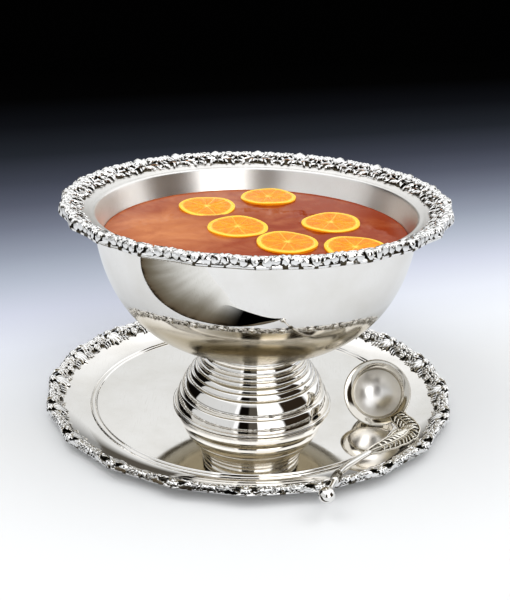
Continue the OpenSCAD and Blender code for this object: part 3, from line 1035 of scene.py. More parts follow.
@dataclass
class Bowl:
    """The bowl: a bellied wall, a wide rim and a cast border that rolls over its edge."""

    axis: Point = (3.8, -11.4)
    mouth: float = 165.7
    thick: float = 1.6
    bottom: float = 75.5
    depth: float = 149.0
    flat: float = 56.3
    belly: float = 3.0
    taper: float = 6.2
    rim_edge: float = 195.0
    rim_rise: float = 8.0
    tips: float = 203.0
    border_in: float = 178.5
    lobes: int = 24

    @property
    def lip(self) -> float:
        """Height of the bowl's lip."""
        return self.bottom + self.depth

    def wall(self, radius: float, depth: float, down: float) -> float:
        """Radius of a wall of that mouth and depth, at a distance below the lip."""
        return radius * max(0.0, 1 - (down / depth) ** 2) ** (1 / self.belly)

    def inner(self, down: float) -> float:
        """Radius of the inside at a distance below the lip."""
        ease = min(1.0, down / 26) * max(0.0, 1 - max(0.0, down - 26) / 60)
        return self.wall(self.mouth, self.depth - self.thick, down) - self.taper * ease

    def top(self, r: Array) -> Array:
        """Height of the rim's upper face.

        Args:
            r: Radii.

        Returns:
            Its height at each.
        """
        start = self.mouth + self.thick
        share = np.clip((np.asarray(r, float) - start) / (self.rim_edge - start), 0, 1.3)
        return self.lip + self.rim_rise * share**0.8

    def side(self, radius: float, depth: float, at: float, shape: Callable[[float], float]) -> list[Point]:
        """A wall's points from its flat bottom up to the lip.

        Args:
            radius: Its radius at the mouth.
            depth: Its depth.
            at: Its radius where it meets the flat bottom.
            shape: Gives its radius at a distance below the lip.

        Returns:
            Radius and height of each point.
        """
        low = depth * math.sqrt(1 - (at / radius) ** self.belly)
        return [(shape(low * (1 - t**1.5)) if t > 0 else at, self.lip - low * (1 - t**1.5))
                for t in np.linspace(0, 0.995, 70)]

    def shell(self) -> Draft:
        """The wall, its bottom and the rim's sheet.

        Returns:
            The form, polished outside and satin within.
        """
        out = self.mouth + self.thick
        outside = self.side(out, self.depth, self.flat, lambda d: self.wall(out, self.depth, d))
        inside = self.side(self.mouth, self.depth - self.thick, self.flat - self.thick, self.inner)
        radii = np.linspace(out + 3.5, self.rim_edge, 24)
        under = list(zip(radii, self.top(radii) - self.thick))
        over = list(zip(radii[::-1], self.top(radii[::-1])))
        outside = [p for p in outside if p[1] < self.lip - 3.2]
        inside = [p for p in inside if p[1] < self.lip - 1.2]
        lip_in, lip_out = (self.mouth + 0.5, self.lip + 1.1, 3.2), (out + 0.1, self.lip - 0.4, 3.0)
        turn_in = rounded([(*over[-1], 0), lip_in, (*inside[-1], 0)], 9)[1:-1]
        turn_out = rounded([(*outside[-1], 0), lip_out, (*under[0], 0)], 9)[1:-1]
        tip = [(self.rim_edge + 0.7, float(self.top(self.rim_edge)) - self.thick / 2)]
        bright = [(0, outside[0][1]), (30, outside[0][1]), *outside, *turn_out, *under, *tip, *over, *turn_in]
        satin = [*inside[::-1], (30, inside[0][1]), (0, inside[0][1])]
        polish = np.interp([z for _, z in bright], (128, 152), (0.5, 1.0))
        polish[-len(turn_in) - len(over):] = 0
        return turned(bright + satin, Matrix.Translation((*self.axis, 0)), 384,
                      np.concatenate([polish, np.zeros(len(satin))]))

    @staticmethod
    def carve(carver: Carver, border: Border) -> None:
        """Raises one unit of the bowl's border: an outward shell between scrolls, leaves and a flower.

        Args:
            carver: Raises the ornament.
            border: The border that it stands on.
        """
        half, wide, crown = border.unit / 2, border.outer - border.inner, border.crown
        lean = carver.rng.uniform(-0.6, 0.6)
        carver.shell(lean, wide * 0.4, 15.2 * carver.jitter(), 46, 3, Facing.OUTWARD, crown)
        carver.leaf((lean, wide * 0.38), (lean, wide * 0.03), 1, 6.4, crown * 0.8)
        carver.flower(half, wide * 0.6, 6.8 * carver.jitter(), 4, crown)
        carver.pebble(half, wide * 0.93, 3.3, crown * 0.7)
        carver.leaf((half, wide * 0.3), (half + lean, wide * 0.02), 1, 5.6, crown * 0.75)
        for side in (-1, 1):
            carver.scroll((side * 5, wide * 0.3), (side * 14, wide * 0.66), 5.6 * carver.jitter(), side, 2.1,
                          crown)
            carver.leaf((side * 4.5, wide * 0.24), (side * (half - 4), wide * 0.12), 2, 6.6, crown * 0.75,
                        side * 1.4)
            carver.pebble(side * 9.5, wide * 0.95, 3.4, crown * 0.7)
            carver.pebble(side * 17.5, wide * 0.9, 3.6, crown * 0.8)

    def build(self, silver: bpy.types.Material, cast: bpy.types.Material) -> None:
        """Makes the bowl's two pieces.

        Args:
            silver: The finish of the wall and the rim.
            cast: The border's finish.
        """
        make_piece("Bowl_wall_and_rim", self.shell(), silver, "bowl", ["bowl_shell"])
        border = Border("bowl", self.border_in, self.tips, self.lobes, self.top, self.axis,
                        drop=5.6, crown=3.4, seed=5)
        make_piece("Bowl_cast_border", border.build(self.carve), cast, "bowl", ["bowl_border"],
                   sharp=60)


@dataclass
class Foot:
    """The domed foot in stepped rings, with its base wire, collar and screw fixing."""

    axis: Point = (3.8, -11.4)
    base: float = 1.6
    high: float = 69.4
    neck: float = 55.3
    foot: float = 85.3
    step: float = 1.1
    thick: float = 1.5
    rings: tuple[Point, ...] = ((0.246, 0.845), (0.493, 0.565), (0.586, 0.42), (0.662, 0.26), (0.726, 0.17),
                                (0.8, 0.1), (0.916, 0.02), (1.0, 0.0))
    wire: float = 1.5
    collar: float = 4.5
    stud: float = 4.0
    stud_long: float = 24.0
    washer: float = 13.0
    washer_thick: float = 1.6
    hub: float = 7.5
    hub_high: float = 9.0
    span: float = 38.0
    pitch: float = 1.25

    @property
    def place(self) -> Matrix:
        """The foot's axis."""
        return Matrix.Translation((*self.axis, 0))

    @property
    def top(self) -> float:
        """Height of the foot's flat top."""
        return self.base + self.high

    @property
    def hole(self) -> float:
        """Radius of the hole that the stud passes through."""
        return self.stud + 0.5

    def at(self, ring: Point) -> Array:
        """A ring's edge as radius and height."""
        return np.array([self.neck + (self.foot - self.neck) * ring[1], self.base + self.high * ring[0]])

    def shell(self) -> Draft:
        """The sheet: convex rings, each set back from the one below, and hollow inside.

        Returns:
            The sheet's form.
        """
        edges = [(0.0, 1.0), *self.rings]
        outside: list[Point] = []
        for n, (low, up) in enumerate(zip(edges, edges[1:])):
            a, b = self.at(low), self.at(up)
            back = 0 if n == 0 else self.step
            tall = b[1] - a[1]
            round_off = min(0.7, tall * 0.2)
            for t in np.linspace(0, 1, 17):
                r = a[0] - back + (b[0] + back - a[0]) * t + 0.09 * tall * math.sin(math.pi * t)
                pull = 0.0
                for gap in (t * tall, (1 - t) * tall):
                    if gap < round_off:
                        pull += 0.55 * (1 - math.sqrt(max(0.0, 1 - (1 - gap / round_off) ** 2)))
                outside.append((r - pull, a[1] + tall * t))
        inside = [self.at(e) - (self.thick + self.step, 0) for e in
                  [(0, 1), self.rings[0], self.rings[1], self.rings[3], self.rings[5]]]
        outline = [tuple(p) for p in outside] + [(self.hole, self.top), (self.hole, self.top - self.thick),
                                                 (self.neck - 4, self.top - self.thick)]
        outline += [(x, y) for x, y, _ in smooth_path([(p[0], p[1], 0) for p in inside[::-1]], 8)]
        return turned(outline, self.place)

    def wing_nut(self) -> Draft:
        """A hub with two swept wings.

        Returns:
            The wing nut's form.
        """
        draft = Draft()
        low = self.top - self.thick - self.washer_thick - self.hub_high
        high, bore = low + self.hub_high, self.stud + 0.15
        hub = rounded([(bore, low, 0.6), (self.hub - 0.8, low, 1.4), (self.hub, high, 0.8),
                       (bore, high, 0.5)])
        draft.lathe(hub, self.place, around=64)
        for side in (-1, 1):
            path = smooth_path([(self.axis[0] + side * x, self.axis[1], low + z) for x, z in
                                ((self.hub - 1.5, 5.4), (self.hub + 2.5, 4.6), (self.span / 2 - 4.5, 3.6),
                                 (self.span / 2 - 1.3, 3.1))], 6)
            t = np.linspace(0, 1, len(path))
            tall = 2.9 + 0.5 * np.sin(t * 3)
            tall[-3:] *= (0.93, 0.75, 0.4)
            draft.bar(path, 1.25 - 0.25 * t, tall, 14)
        return draft

    def thread(self) -> Draft:
        """The stud, with its thread.

        Returns:
            The stud's form.
        """
        top = self.top + self.collar
        z = np.arange(0, self.stud_long + 0.01, self.pitch / 8)
        turn = ring_angles(48)
        phase = (z[:, None] / self.pitch + turn[None] / (2 * np.pi)) % 1
        ease = np.clip(np.minimum(z / 1.2, 1), 0, 1)[:, None]
        radius = self.stud - 0.62 * np.abs(phase * 2 - 1) * ease - 0.5 * (1 - ease)
        points = circling(radius, turn, (top - self.stud_long + z)[:, None], self.axis)
        draft = Draft()
        draft.add(points.reshape(-1, 3), capped_faces(len(z), len(turn)))
        return draft

    def collar_ring(self) -> Draft:
        """The collar between the foot and the bowl, a little tarnished.

        Returns:
            The collar's form.
        """
        up = self.top + self.collar
        outline = rounded([(self.hole, self.top, 0), (self.neck - 0.1, self.top, 0.5),
                           (self.neck - 1.4, self.top + self.collar * 0.5, 1.5), (self.neck, up - 0.1, 0.6),
                           (self.hole, up - 0.02, 0)])
        return turned(outline, self.place, relief=0.6)

    def rolled_wire(self) -> Draft:
        """The wire round the foot's base.

        Returns:
            The wire's form.
        """
        r, z = self.foot + self.wire - 0.3, self.base + self.wire + 0.3
        turn = np.linspace(0, 2 * math.pi, 20, endpoint=False)
        outline = [(r + self.wire * math.cos(t), z + self.wire * math.sin(t)) for t in turn]
        return turned(outline, self.place)

    def steel_washer(self) -> Draft:
        """The washer under the foot's top.

        Returns:
            The washer's form.
        """
        low = self.top - self.thick - self.washer_thick
        high = low + self.washer_thick
        return turned(rounded([(self.hole, low, 0.3), (self.washer, low, 0.5), (self.washer, high, 0.3),
                               (self.hole, high, 0.2)]), self.place, around=96)

    def build(self, silver: bpy.types.Material, brass: bpy.types.Material, steel: bpy.types.Material) -> None:
        """Makes the foot's six pieces.

        Args:
            silver: The finish of what shows.
            brass: The finish of the stud and the wing nut.
            steel: The washer's finish.
        """
        for name, draft, material, slot, node, sharp in (
                ("Foot_ringed_dome", self.shell(), silver, "bowl_silver", "foot_shell", 50.0),
                ("Foot_collar_ring", self.collar_ring(), silver, "bowl_silver", "foot_collar", SHARP),
                ("Foot_rolled_wire", self.rolled_wire(), silver, "bowl_silver", "foot_base_wire", SHARP),
                ("Foot_threaded_stud", self.thread(), brass, "bare_brass", "foot_stud", 30.0),
                ("Foot_steel_washer", self.steel_washer(), steel, "steel", "foot_washer", SHARP),
                ("Foot_wing_nut_cast", self.wing_nut(), brass, "bare_brass", "foot_wing_nut", SHARP)):
            make_piece(name, draft, material, "bowl", [node], sharp)


@dataclass
class Contents:
    """The punch, and the orange slices that float in it."""

    bowl: Bowl
    drop: float = 24.2
    radius: float = 32.5
    thick: float = 6.0
    rind: float = 3.0
    proud: float = 3.0
    segments: int = 10
    creep: float = 0.9
    slice_creep: float = 0.5
    slices: tuple[tuple[float, float, float, float], ...] = (
        (-55.5, 77.2, 4, 0), (13.0, 123.8, 1, -1), (-19.5, 3.6, 3, 1),
        (79.6, 27.1, 2, -1), (32.0, -44.1, 1, 1), (99.0, -55.1, 2, -1))

    @property
    def level(self) -> float:
        """Height of the punch's surface."""
        return self.bowl.lip - self.drop

    def punch(self) -> Draft:
        """The liquid: a flat top that creeps up the wall and the slices, and the bowl's shape below.

        Returns:
            The punch's form.
        """
        edge = self.bowl.inner(self.drop) - 0.35
        around, rows = 360, 128
        turn = ring_angles(around)
        r = np.concatenate([np.linspace(0.02, 0.975, rows), np.linspace(0.98, 1, 8)]) * edge
        x, y = r[:, None] * np.cos(turn), r[:, None] * np.sin(turn)
        lift = np.broadcast_to(self.creep * np.exp(-(edge - r[:, None]) / 1.3), x.shape).copy()
        for cx, cy, *_ in self.slices:
            gap = np.hypot(x - cx, y - cy) - self.radius
            lift += self.slice_creep * np.exp(-np.maximum(gap, 0) / 1.8) * (gap > -4)
        rng = np.random.default_rng(3)
        for _ in range(9):
            kx, ky = rng.normal(0, 0.09, 2)
            lift += 0.035 * np.sin(kx * x + ky * y + rng.uniform(0, 6.3))
        top = np.stack([x, y, self.level + lift], -1)
        inner = [p for p in self.bowl.side(self.bowl.mouth, self.bowl.depth - self.bowl.thick,
                                           self.bowl.flat - self.bowl.thick, self.bowl.inner)
                 if p[1] < self.level - 2]
        floor = (0.02 * edge, inner[0][1] + 0.3)
        under = np.array([*((q[0] - 0.35, q[1] + 0.3) for q in inner[::-1]), floor])
        below = circling(under[:, :1], turn, under[:, 1:])
        points = np.concatenate([top, below]).reshape(-1, 3) + (*self.bowl.axis, 0)
        draft = Draft()
        draft.add(points, capped_faces(len(top) + len(below), around))
        return draft

    def bent(self, points: Array, seed: int) -> Array:
        """A slice's points, out of round and cupped as a cut slice is.

        Args:
            points: The slice's points, about its own middle.
            seed: The slice's number.

        Returns:
            The points, moved by up to about a millimetre.
        """
        rng = np.random.default_rng(seed)
        a, b, c = rng.uniform(0, 2 * np.pi, 3)
        turn = np.arctan2(points[:, 1], points[:, 0])
        reach = np.hypot(points[:, 0], points[:, 1]) / self.radius
        swell = 1 - 0.022 + 0.018 * np.sin(2 * turn + a) + 0.009 * np.sin(3 * turn + b)
        lift = reach**2 * (0.8 * np.sin(2 * turn + c) + 0.25 * np.sin(5 * turn + a))
        return np.column_stack([points[:, 0] * swell, points[:, 1] * swell, points[:, 2] + lift])

    def rind_ring(self, place: Matrix, seed: int) -> Draft:
        """The ring of peel and pith round one slice.

        Args:
            place: Where the slice floats.
            seed: The slice's number.

        Returns:
            The ring's form, with 1 on its cut faces.
        """
        r0, r1, t = self.radius - self.rind, self.radius, self.thick
        outline = rounded([(r0 - 0.2, -t, 0.3), (r1 - 0.3, -t, 1.0), (r1, -t / 2, 0.8), (r1 - 0.2, 0, 0.9),
                           (r0 - 0.2, -0.1, 0.3)], 7)
        draft = turned(outline, None, 180)
        draft.points = [moved(self.bent(draft.points[0], seed), place)]
        line = np.array(outline)
        cut = np.clip((r1 + 0.25 - line[:, 0]) / 0.8, 0, 1) * (np.minimum(-line[:, 1], t + line[:, 1]) < 0.6)
        draft.relief = [np.repeat(cut, 180)]
        return draft

    def flesh_disc(self, place: Matrix, seed: int) -> Draft:
        """The cut flesh of one slice, its segments proud of their membranes.

        Args:
            place: Where the slice floats.
            seed: The slice's number.

        Returns:
            The flesh's form, with 1 on its membranes.
        """
        rng = np.random.default_rng(seed + 20)
        around, rows = 240, 34
        turn = ring_angles(around)
        uneven = rng.uniform(-0.16, 0.16, self.segments)
        walls = np.sort((np.arange(self.segments) + uneven) / self.segments * 2 * np.pi)
        edge = self.radius - self.rind
        r = np.linspace(0.4, edge, rows)
        to_walls = np.abs((turn[:, None] - walls[None] + np.pi) % (2 * np.pi) - np.pi)
        gap = r[:, None] * np.sin(np.minimum(to_walls.min(1), np.pi / 2))[None]
        core = 3.2 + 0.9 * np.sin(turn * 3 + seed)
        faint = rng.uniform(0.25, 0.65, self.segments)[to_walls.argmin(1)]
        membrane = np.maximum.reduce([faint * np.exp(-(gap / 0.5) ** 2),
                                      0.85 / (1 + np.exp((r[:, None] - core) * 1.6)),
                                      1 / (1 + np.exp((edge - 1.7 - r[:, None] + 0 * gap) * 2.2))])
        sacs = rng.normal(0, 1, (rows, around))
        sacs = sum(np.roll(sacs, k, 1) for k in range(-2, 3)) / 5
        high = 0.55 * (1 - membrane) * np.clip(gap / 3, 0, 1) ** 0.5 + 0.12 * sacs * (1 - membrane) - 0.15
        high[-1] = -0.25
        top = circling(r[:, None], turn, high)
        under = circling(r[:, None], turn, -self.thick - high * 0.6)[::-1]
        points = moved(self.bent(np.concatenate([top, under]).reshape(-1, 3), seed), place)
        draft = Draft()
        relief = np.concatenate([membrane, membrane[::-1]]).reshape(-1)
        draft.add(points, capped_faces(rows * 2, around), relief)
        return draft

    def build(self, punch: bpy.types.Material, rind: bpy.types.Material, flesh: bpy.types.Material) -> None:
        """Makes the punch and the twelve pieces of the slices.

        Args:
            punch: The punch's finish.
            rind: The finish of the slices' peel and pith.
            flesh: The finish of their flesh.
        """
        make_piece("Punch_surface", self.punch(), punch, "bowl", ["punch"], sharp=80)
        for n, (x, y, tilt, roll) in enumerate(self.slices, 1):
            middle = (self.bowl.axis[0] + x, self.bowl.axis[1] + y, self.level + self.proud)
            lean = Euler((math.radians(tilt), math.radians(roll), 0)).to_matrix().to_4x4()
            place = Matrix.Translation(middle) @ lean
            body = f"slice_{n}"
            make_piece(f"Orange_{n}_rind_ring", self.rind_ring(place, n), rind, body,
                       [f"{body}_rind"], attribute="cut")
            make_piece(f"Orange_{n}_flesh_disc", self.flesh_disc(place, n), flesh, body,
                       [f"{body}_flesh"], sharp=80, attribute="membrane")


@dataclass
class Ladle:
    """The ladle: a bell-mouthed cup, an ornate leaf, a round stem, a ferrule and a ball."""

    cup_at: Spot = (137.8, -49.7, 33.8)
    lean: float = 61.0
    turn: float = -8.0
    lip: float = 35.8
    cup: float = 26.0
    throat: float = 7.0
    hollow: float = 14.0
    thick: float = 1.2
    root: Spot = (157.1, -65.5, 16.1)
    leaf: tuple[Spot, ...] = ((167.9, -87.8, 12.1), (155.9, -106.8, 10.1), (122.0, -136.9, 11.1))
    stem_mid: Spot = (98.9, -170.0, 16.9)
    stem_rest: Spot = (86.1, -198.1, 23.7)
    ball_at: Spot = (72.9, -237.0, 24.7)
    stem: float = 3.6
    ferrule: float = 4.8
    ferrule_long: float = 12.0
    ball: float = 7.8

    def bell(self) -> Draft:
        """The cup, with its flared and beaded lip.

        Returns:
            The cup's form, bright outside and satin within.
        """
        outline: list[Point] = []
        for a in np.linspace(-90, 0, 28):
            outline.append(((self.cup + self.thick) * math.cos(math.radians(a)),
                            -self.throat + (self.cup + self.thick) * math.sin(math.radians(a))))
        flare = [(self.cup + self.thick + (self.lip - 1.2 - self.cup - self.thick) * t**1.9,
                  -self.throat + (self.throat - 0.8) * t) for t in np.linspace(0.06, 1, 16)]
        outline += flare
        for a in np.linspace(-70, 130, 10):
            a = math.radians(a)
            outline.append((self.lip - 1.0 + 1.0 * math.cos(a), -0.55 + 0.95 * math.sin(a)))
        outline += [(r - 0.9, z + 1.05) for r, z in flare[-2::-1]]
        bright = len(outline)
        for t in np.linspace(0.03, 1, 28):
            outline.append((self.cup * (1 - t), -self.throat - self.hollow * (1 - (1 - t)**2.3)))
        place = (Matrix.Translation(self.cup_at)
                 @ Euler((math.radians(self.lean), 0, math.radians(self.turn))).to_matrix().to_4x4())
        return turned(outline, place, 192, np.repeat([0.8, 0.0], [bright, len(outline) - bright]))

    def blade(self) -> Draft:
        """The leaf: a crowned blade with a vein, two rims, side ribs, and a shell between two curls.

        Returns:
            The leaf's form.
        """
        draft = Draft()
        path = smooth_path([self.root, *self.leaf], 12)
        t = np.linspace(0, 1, len(path))
        width = np.interp(t, [0, 0.22, 0.36, 0.5, 0.66, 0.85, 1], [7.0, 8.6, 10.8, 11.0, 9.2, 6.4, 3.2])
        width = width * (1 + 0.1 * np.abs(np.sin(t * 22)))
        up = (-0.25, -0.45, 0.86)
        draft.bar(path, width, 1.35, 14, up=up, sunk=0.1)
        draft.relief[-1] = draft.relief[-1] * 0.45
        along = np.gradient(path, axis=0)
        along /= np.linalg.norm(along, axis=1, keepdims=True)
        side = np.cross(np.broadcast_to(up, along.shape), along)
        side /= np.linalg.norm(side, axis=1, keepdims=True)
        crown = np.cross(along, side)
        draft.bar(path[3:] + crown[3:] * 1.3, 0.9, 1.0, 8, up=up, sunk=0.3)
        swell = np.array([0.5, 0.9, 1.0, 0.85, 0.3])
        s = np.linspace(0, 1, 5)[:, None]
        for way in (-1, 1):
            rim = path + side * way * width[:, None] + crown * 0.4
            draft.bar(rim, 0.95, 1.1, 8, up=up, sunk=0.2)
            for k in range(1, len(path) - 5, 2):
                reach = width[k] * 0.92
                end = path[k] + side[k] * way * reach + along[k] * reach * 0.75 + crown[k] * 0.3
                rib = path[k] * (1 - s) + end * s + crown[k] * (1.3 * np.sin(s * math.pi) + 0.5)
                draft.bar(rib, 1.05 * swell, 1.0 * swell, 6, up=up, sunk=0.0)
        fan = 12
        s = np.linspace(0, 1, 6)[:, None]
        wide, high = np.array([0.4, 0.8, 1.1, 1.3, 1.15, 0.4]), np.array([0.4, 0.7, 0.95, 1.05, 0.9, 0.3])
        for angle in np.linspace(-1.15, 1.15, 7):
            heading = -along[fan] * math.cos(angle) + side[fan] * math.sin(angle)
            rib = path[fan + 3] + s * heading * 9.5 + crown[fan] * (1.2 + 0.9 * np.sin(s * 2.4))
            draft.bar(rib, wide, high, 6, up=up, sunk=0.1)
        for way in (-1, 1):
            centre = path[fan + 6] + side[fan + 6] * way * 6.4 + crown[fan + 6] * 1.2
            turn = np.linspace(0, 1, 16)
            a = turn * 2.9 * np.pi
            radius = 3.3 * (1 - 0.75 * turn)
            curl = (centre + (radius * np.cos(a))[:, None] * side[fan + 6] * way
                    + (radius * np.sin(a))[:, None] * along[fan + 6])
            draft.bar(curl, 0.85 - 0.35 * turn, 0.85 - 0.35 * turn, 6, up=up, sunk=0.1)
            draft.bead(tuple(centre), 0.95)
        return draft

    @property
    def handle_end(self) -> Matrix:
        """Places a form where the stem ends, with its +Z towards the ball."""
        return along_axis(self.stem_rest, self.ball_at)

    def round_stem(self) -> Draft:
        """The stem, which thickens a little towards the ferrule.

        Returns:
            The stem's form.
        """
        path = smooth_path([self.leaf[1], self.leaf[2], self.stem_mid, self.stem_rest], 14)[14:]
        t = np.linspace(0, 1, len(path))
        size = self.stem * (0.72 + 0.3 * np.sin(np.clip(t * 1.25, 0, 1) * math.pi / 2))
        draft = Draft()
        draft.bar(path, size, size, 28, sunk=1)
        return draft

    def fluted_ferrule(self) -> Draft:
        """The ferrule: turned beads with flutes between them.

        Returns:
            The ferrule's form.
        """
        f, end = self.ferrule, self.ferrule_long - 0.1
        outline = rounded([(0, -0.4, 0), (f * 0.62, -0.4, 0.2), (f * 0.84, 0.5, 0.6), (f * 0.84, 1.8, 0.6),
                           (f * 0.66, 2.4, 0.3), (f * 0.74, 4, 0.6), (f * 0.94, 8.2, 0.8),
                           (f * 0.78, 8.9, 0.3), (f, 9.6, 0.6), (f, 11.2, 0.7), (f * 0.6, end, 0.4),
                           (0, end, 0)], 5)
        draft = turned(outline, self.handle_end, 72, 0.42)
        along = (Vector(self.ball_at) - Vector(self.stem_rest)).normalized()
        wide, high = np.array([0.2, 0.55, 0.7, 0.6, 0.2]), np.array([0.2, 0.45, 0.55, 0.5, 0.2])
        z = np.array([3.0, 4.2, 6.0, 7.6, 8.4])
        for a in ring_angles(16):
            flute = circling(f * (0.72 + 0.024 * z), a, z)
            draft.bar(moved(flute, self.handle_end), wide, high, 6, up=tuple(along), sunk=0.2)
        return draft

    def ball_finial(self) -> Draft:
        """The ball and its neck.

        Returns:
            The form, from the ferrule to the ball.
        """
        reach = (Vector(self.ball_at) - Vector(self.stem_rest)).length
        low = self.ferrule_long
        neck = rounded([(2.4, low, 0), (3.9, low + 0.3, 0.5), (3.9, low + 2.0, 0.8), (2.2, low + 3.4, 0.9),
                        (2.0, reach - 12, 1.5), (3.4, reach - 8.8, 0.8), (2.6, reach - 7.4, 0.1)], 6)
        outline: list[Point] = [(0, low), *neck[:-1]]
        for a in np.radians(np.linspace(-70, 90, 40)):
            outline.append((self.ball * math.cos(a), reach + self.ball * math.sin(a)))
        return turned(outline, self.handle_end, 96)

    def build(self, silver: bpy.types.Material, cast: bpy.types.Material) -> None:
        """Makes the ladle's five pieces.

        Args:
            silver: The finish of the cup, the stem and the ball.
            cast: The finish of the leaf and the ferrule.
        """
        for name, draft, material, node, sharp in (
                ("Ladle_bell_cup", self.bell(), silver, "ladle_cup", 50.0),
                ("Ladle_acanthus_leaf", self.blade(), cast, "ladle_leaf", 60.0),
                ("Ladle_round_stem", self.round_stem(), silver, "ladle_stem", 60.0),
                ("Ladle_beaded_ferrule", self.fluted_ferrule(), cast, "ladle_ferrule", 50.0),
                ("Ladle_ball_finial", self.ball_finial(), silver, "ladle_finial", 60.0)):
            make_piece(name, draft, material, "ladle", [node], sharp)


# ---------------------------------------------------------------- studio


class Tone(Enum):
    """How bright each part of the studio round the set is, for what the silver mirrors."""

    BLACK = (0.006, 0.005, 0.004)
    BROWN = (0.035, 0.026, 0.018)
    SHADE = (0.1, 0.092, 0.08)
    DIM = (0.3, 0.305, 0.31)
    PALE = (0.62, 0.635, 0.655)
    WHITE = (1.0, 1.02, 1.06)
    LAMP = (1.9, 1.92, 1.96)


@dataclass(frozen=True)
class PaleFloor(Finish):
    """The floor: pale under the set, with a painted fall of light to slate far behind it."""

    name: str = "studio_floor"
    slant: float = 0.42
    reach: float = 2.6
    mirrored: Spot = (0.655, 0.672, 0.7)
    # Painted fall of light, seen only by the camera: pale under the set, near black far behind it.
    stops: tuple[tuple[float, Spot], ...] = (
        (0.0, (0.76, 0.765, 0.77)), (0.05, (0.77, 0.785, 0.815)), (0.091, (0.72, 0.74, 0.8)),
        (0.137, (0.59, 0.61, 0.695)), (0.184, (0.444, 0.475, 0.546)), (0.238, (0.3, 0.325, 0.386)),
        (0.297, (0.186, 0.201, 0.25)), (0.354, (0.112, 0.121, 0.157)), (0.421, (0.065, 0.071, 0.093)),
        (0.518, (0.027, 0.031, 0.039)), (0.648, (0.01, 0.011, 0.014)), (0.81, (0.002, 0.002, 0.002)),
        (1.0, (0.001, 0.001, 0.001)))

    def plain(self) -> dict[str, object]:
        """Values that are the same all over: matt paper."""
        return {"Roughness": 0.9, "Specular IOR Level": 0.0}

    def dress(self, sheet: Sheet, shader: bpy.types.Node) -> None:
        """Adds the painted fall of light towards the back, which the silver doesn't mirror.

        Args:
            sheet: The material's tree.
            shader: Its shader.
        """
        parts = sheet.add("SeparateXYZ", {0: sheet.spot()})
        back = sheet.sums("SUBTRACT", parts.outputs[1], sheet.sums("MULTIPLY", parts.outputs[0], self.slant))
        seen = sheet.ramp(sheet.spread(back, 0.0, 1.0, 0.0, self.reach), self.stops)
        straight = sheet.add("LightPath").outputs["Is Camera Ray"]
        sheet.join(shader, Base_Color=sheet.blend(straight, self.mirrored, seen))


@dataclass(frozen=True)
class BlackCard(Finish):
    """A black card that fades out towards one end."""

    name: str = "black_card"

    def plain(self) -> dict[str, object]:
        """Values that are the same all over: matt black."""
        return {"Base Color": (0, 0, 0, 1), "Roughness": 1.0, "Specular IOR Level": 0.0}

    def dress(self, sheet: Sheet, shader: bpy.types.Node) -> None:
        """Adds the fade along the card."""
        sheet.join(shader, Alpha=sheet.spread(sheet.mark("along"), 0.0, 1.0, 0.04, 0.46))


@dataclass(frozen=True)
class BrownCard(BlackCard):
    """A streaked brown card, darkest along its first edge and nearly white along its last."""

    name: str = "dark_card"
    stops: tuple[tuple[float, Spot], ...] = (
        (0.0, (0.03, 0.022, 0.014)), (0.06, (0.12, 0.098, 0.07)), (0.25, (0.19, 0.175, 0.145)),
        (0.5, (0.36, 0.355, 0.335)), (0.75, (0.6, 0.61, 0.61)), (1.0, (0.75, 0.77, 0.79)))

    def plain(self) -> dict[str, object]:
        """Values that are the same all over: matt, with its tones given as light."""
        return {**super().plain(), "Emission Strength": 1.0}

    def dress(self, sheet: Sheet, shader: bpy.types.Node) -> None:
        """Adds the tones across the card, and streaks in them.

        Args:
            sheet: The material's tree.
            shader: Its shader.
        """
        drawn_out = sheet.add("Mapping", {"Vector": sheet.spot(), "Scale": (9, 1.5, 1)})
        streak = sheet.noise(drawn_out.outputs[0], 2, 3)
        out = sheet.sums("ADD", sheet.mark("across"), sheet.spread(streak, -0.06, 0.06, 0.3, 0.7))
        sheet.join(shader, Emission_Color=sheet.ramp(out, self.stops))


def stage_piece(name: str, points: Array, faces: Sequence[Sequence[int]],
                material: bpy.types.Material) -> bpy.types.Object:
    """Makes a piece of the stage.

    Args:
        name: The piece's name.
        points: Its points, in millimetres.
        faces: Its faces, as point numbers.
        material: Its finish.

    Returns:
        The new object.
    """
    mesh = bpy.data.meshes.new(name)
    mesh.from_pydata((points * MM).tolist(), [], faces)
    mesh.materials.append(material)
    piece = bpy.data.objects.new(name, mesh)
    bpy.context.scene.collection.objects.link(piece)
    return piece


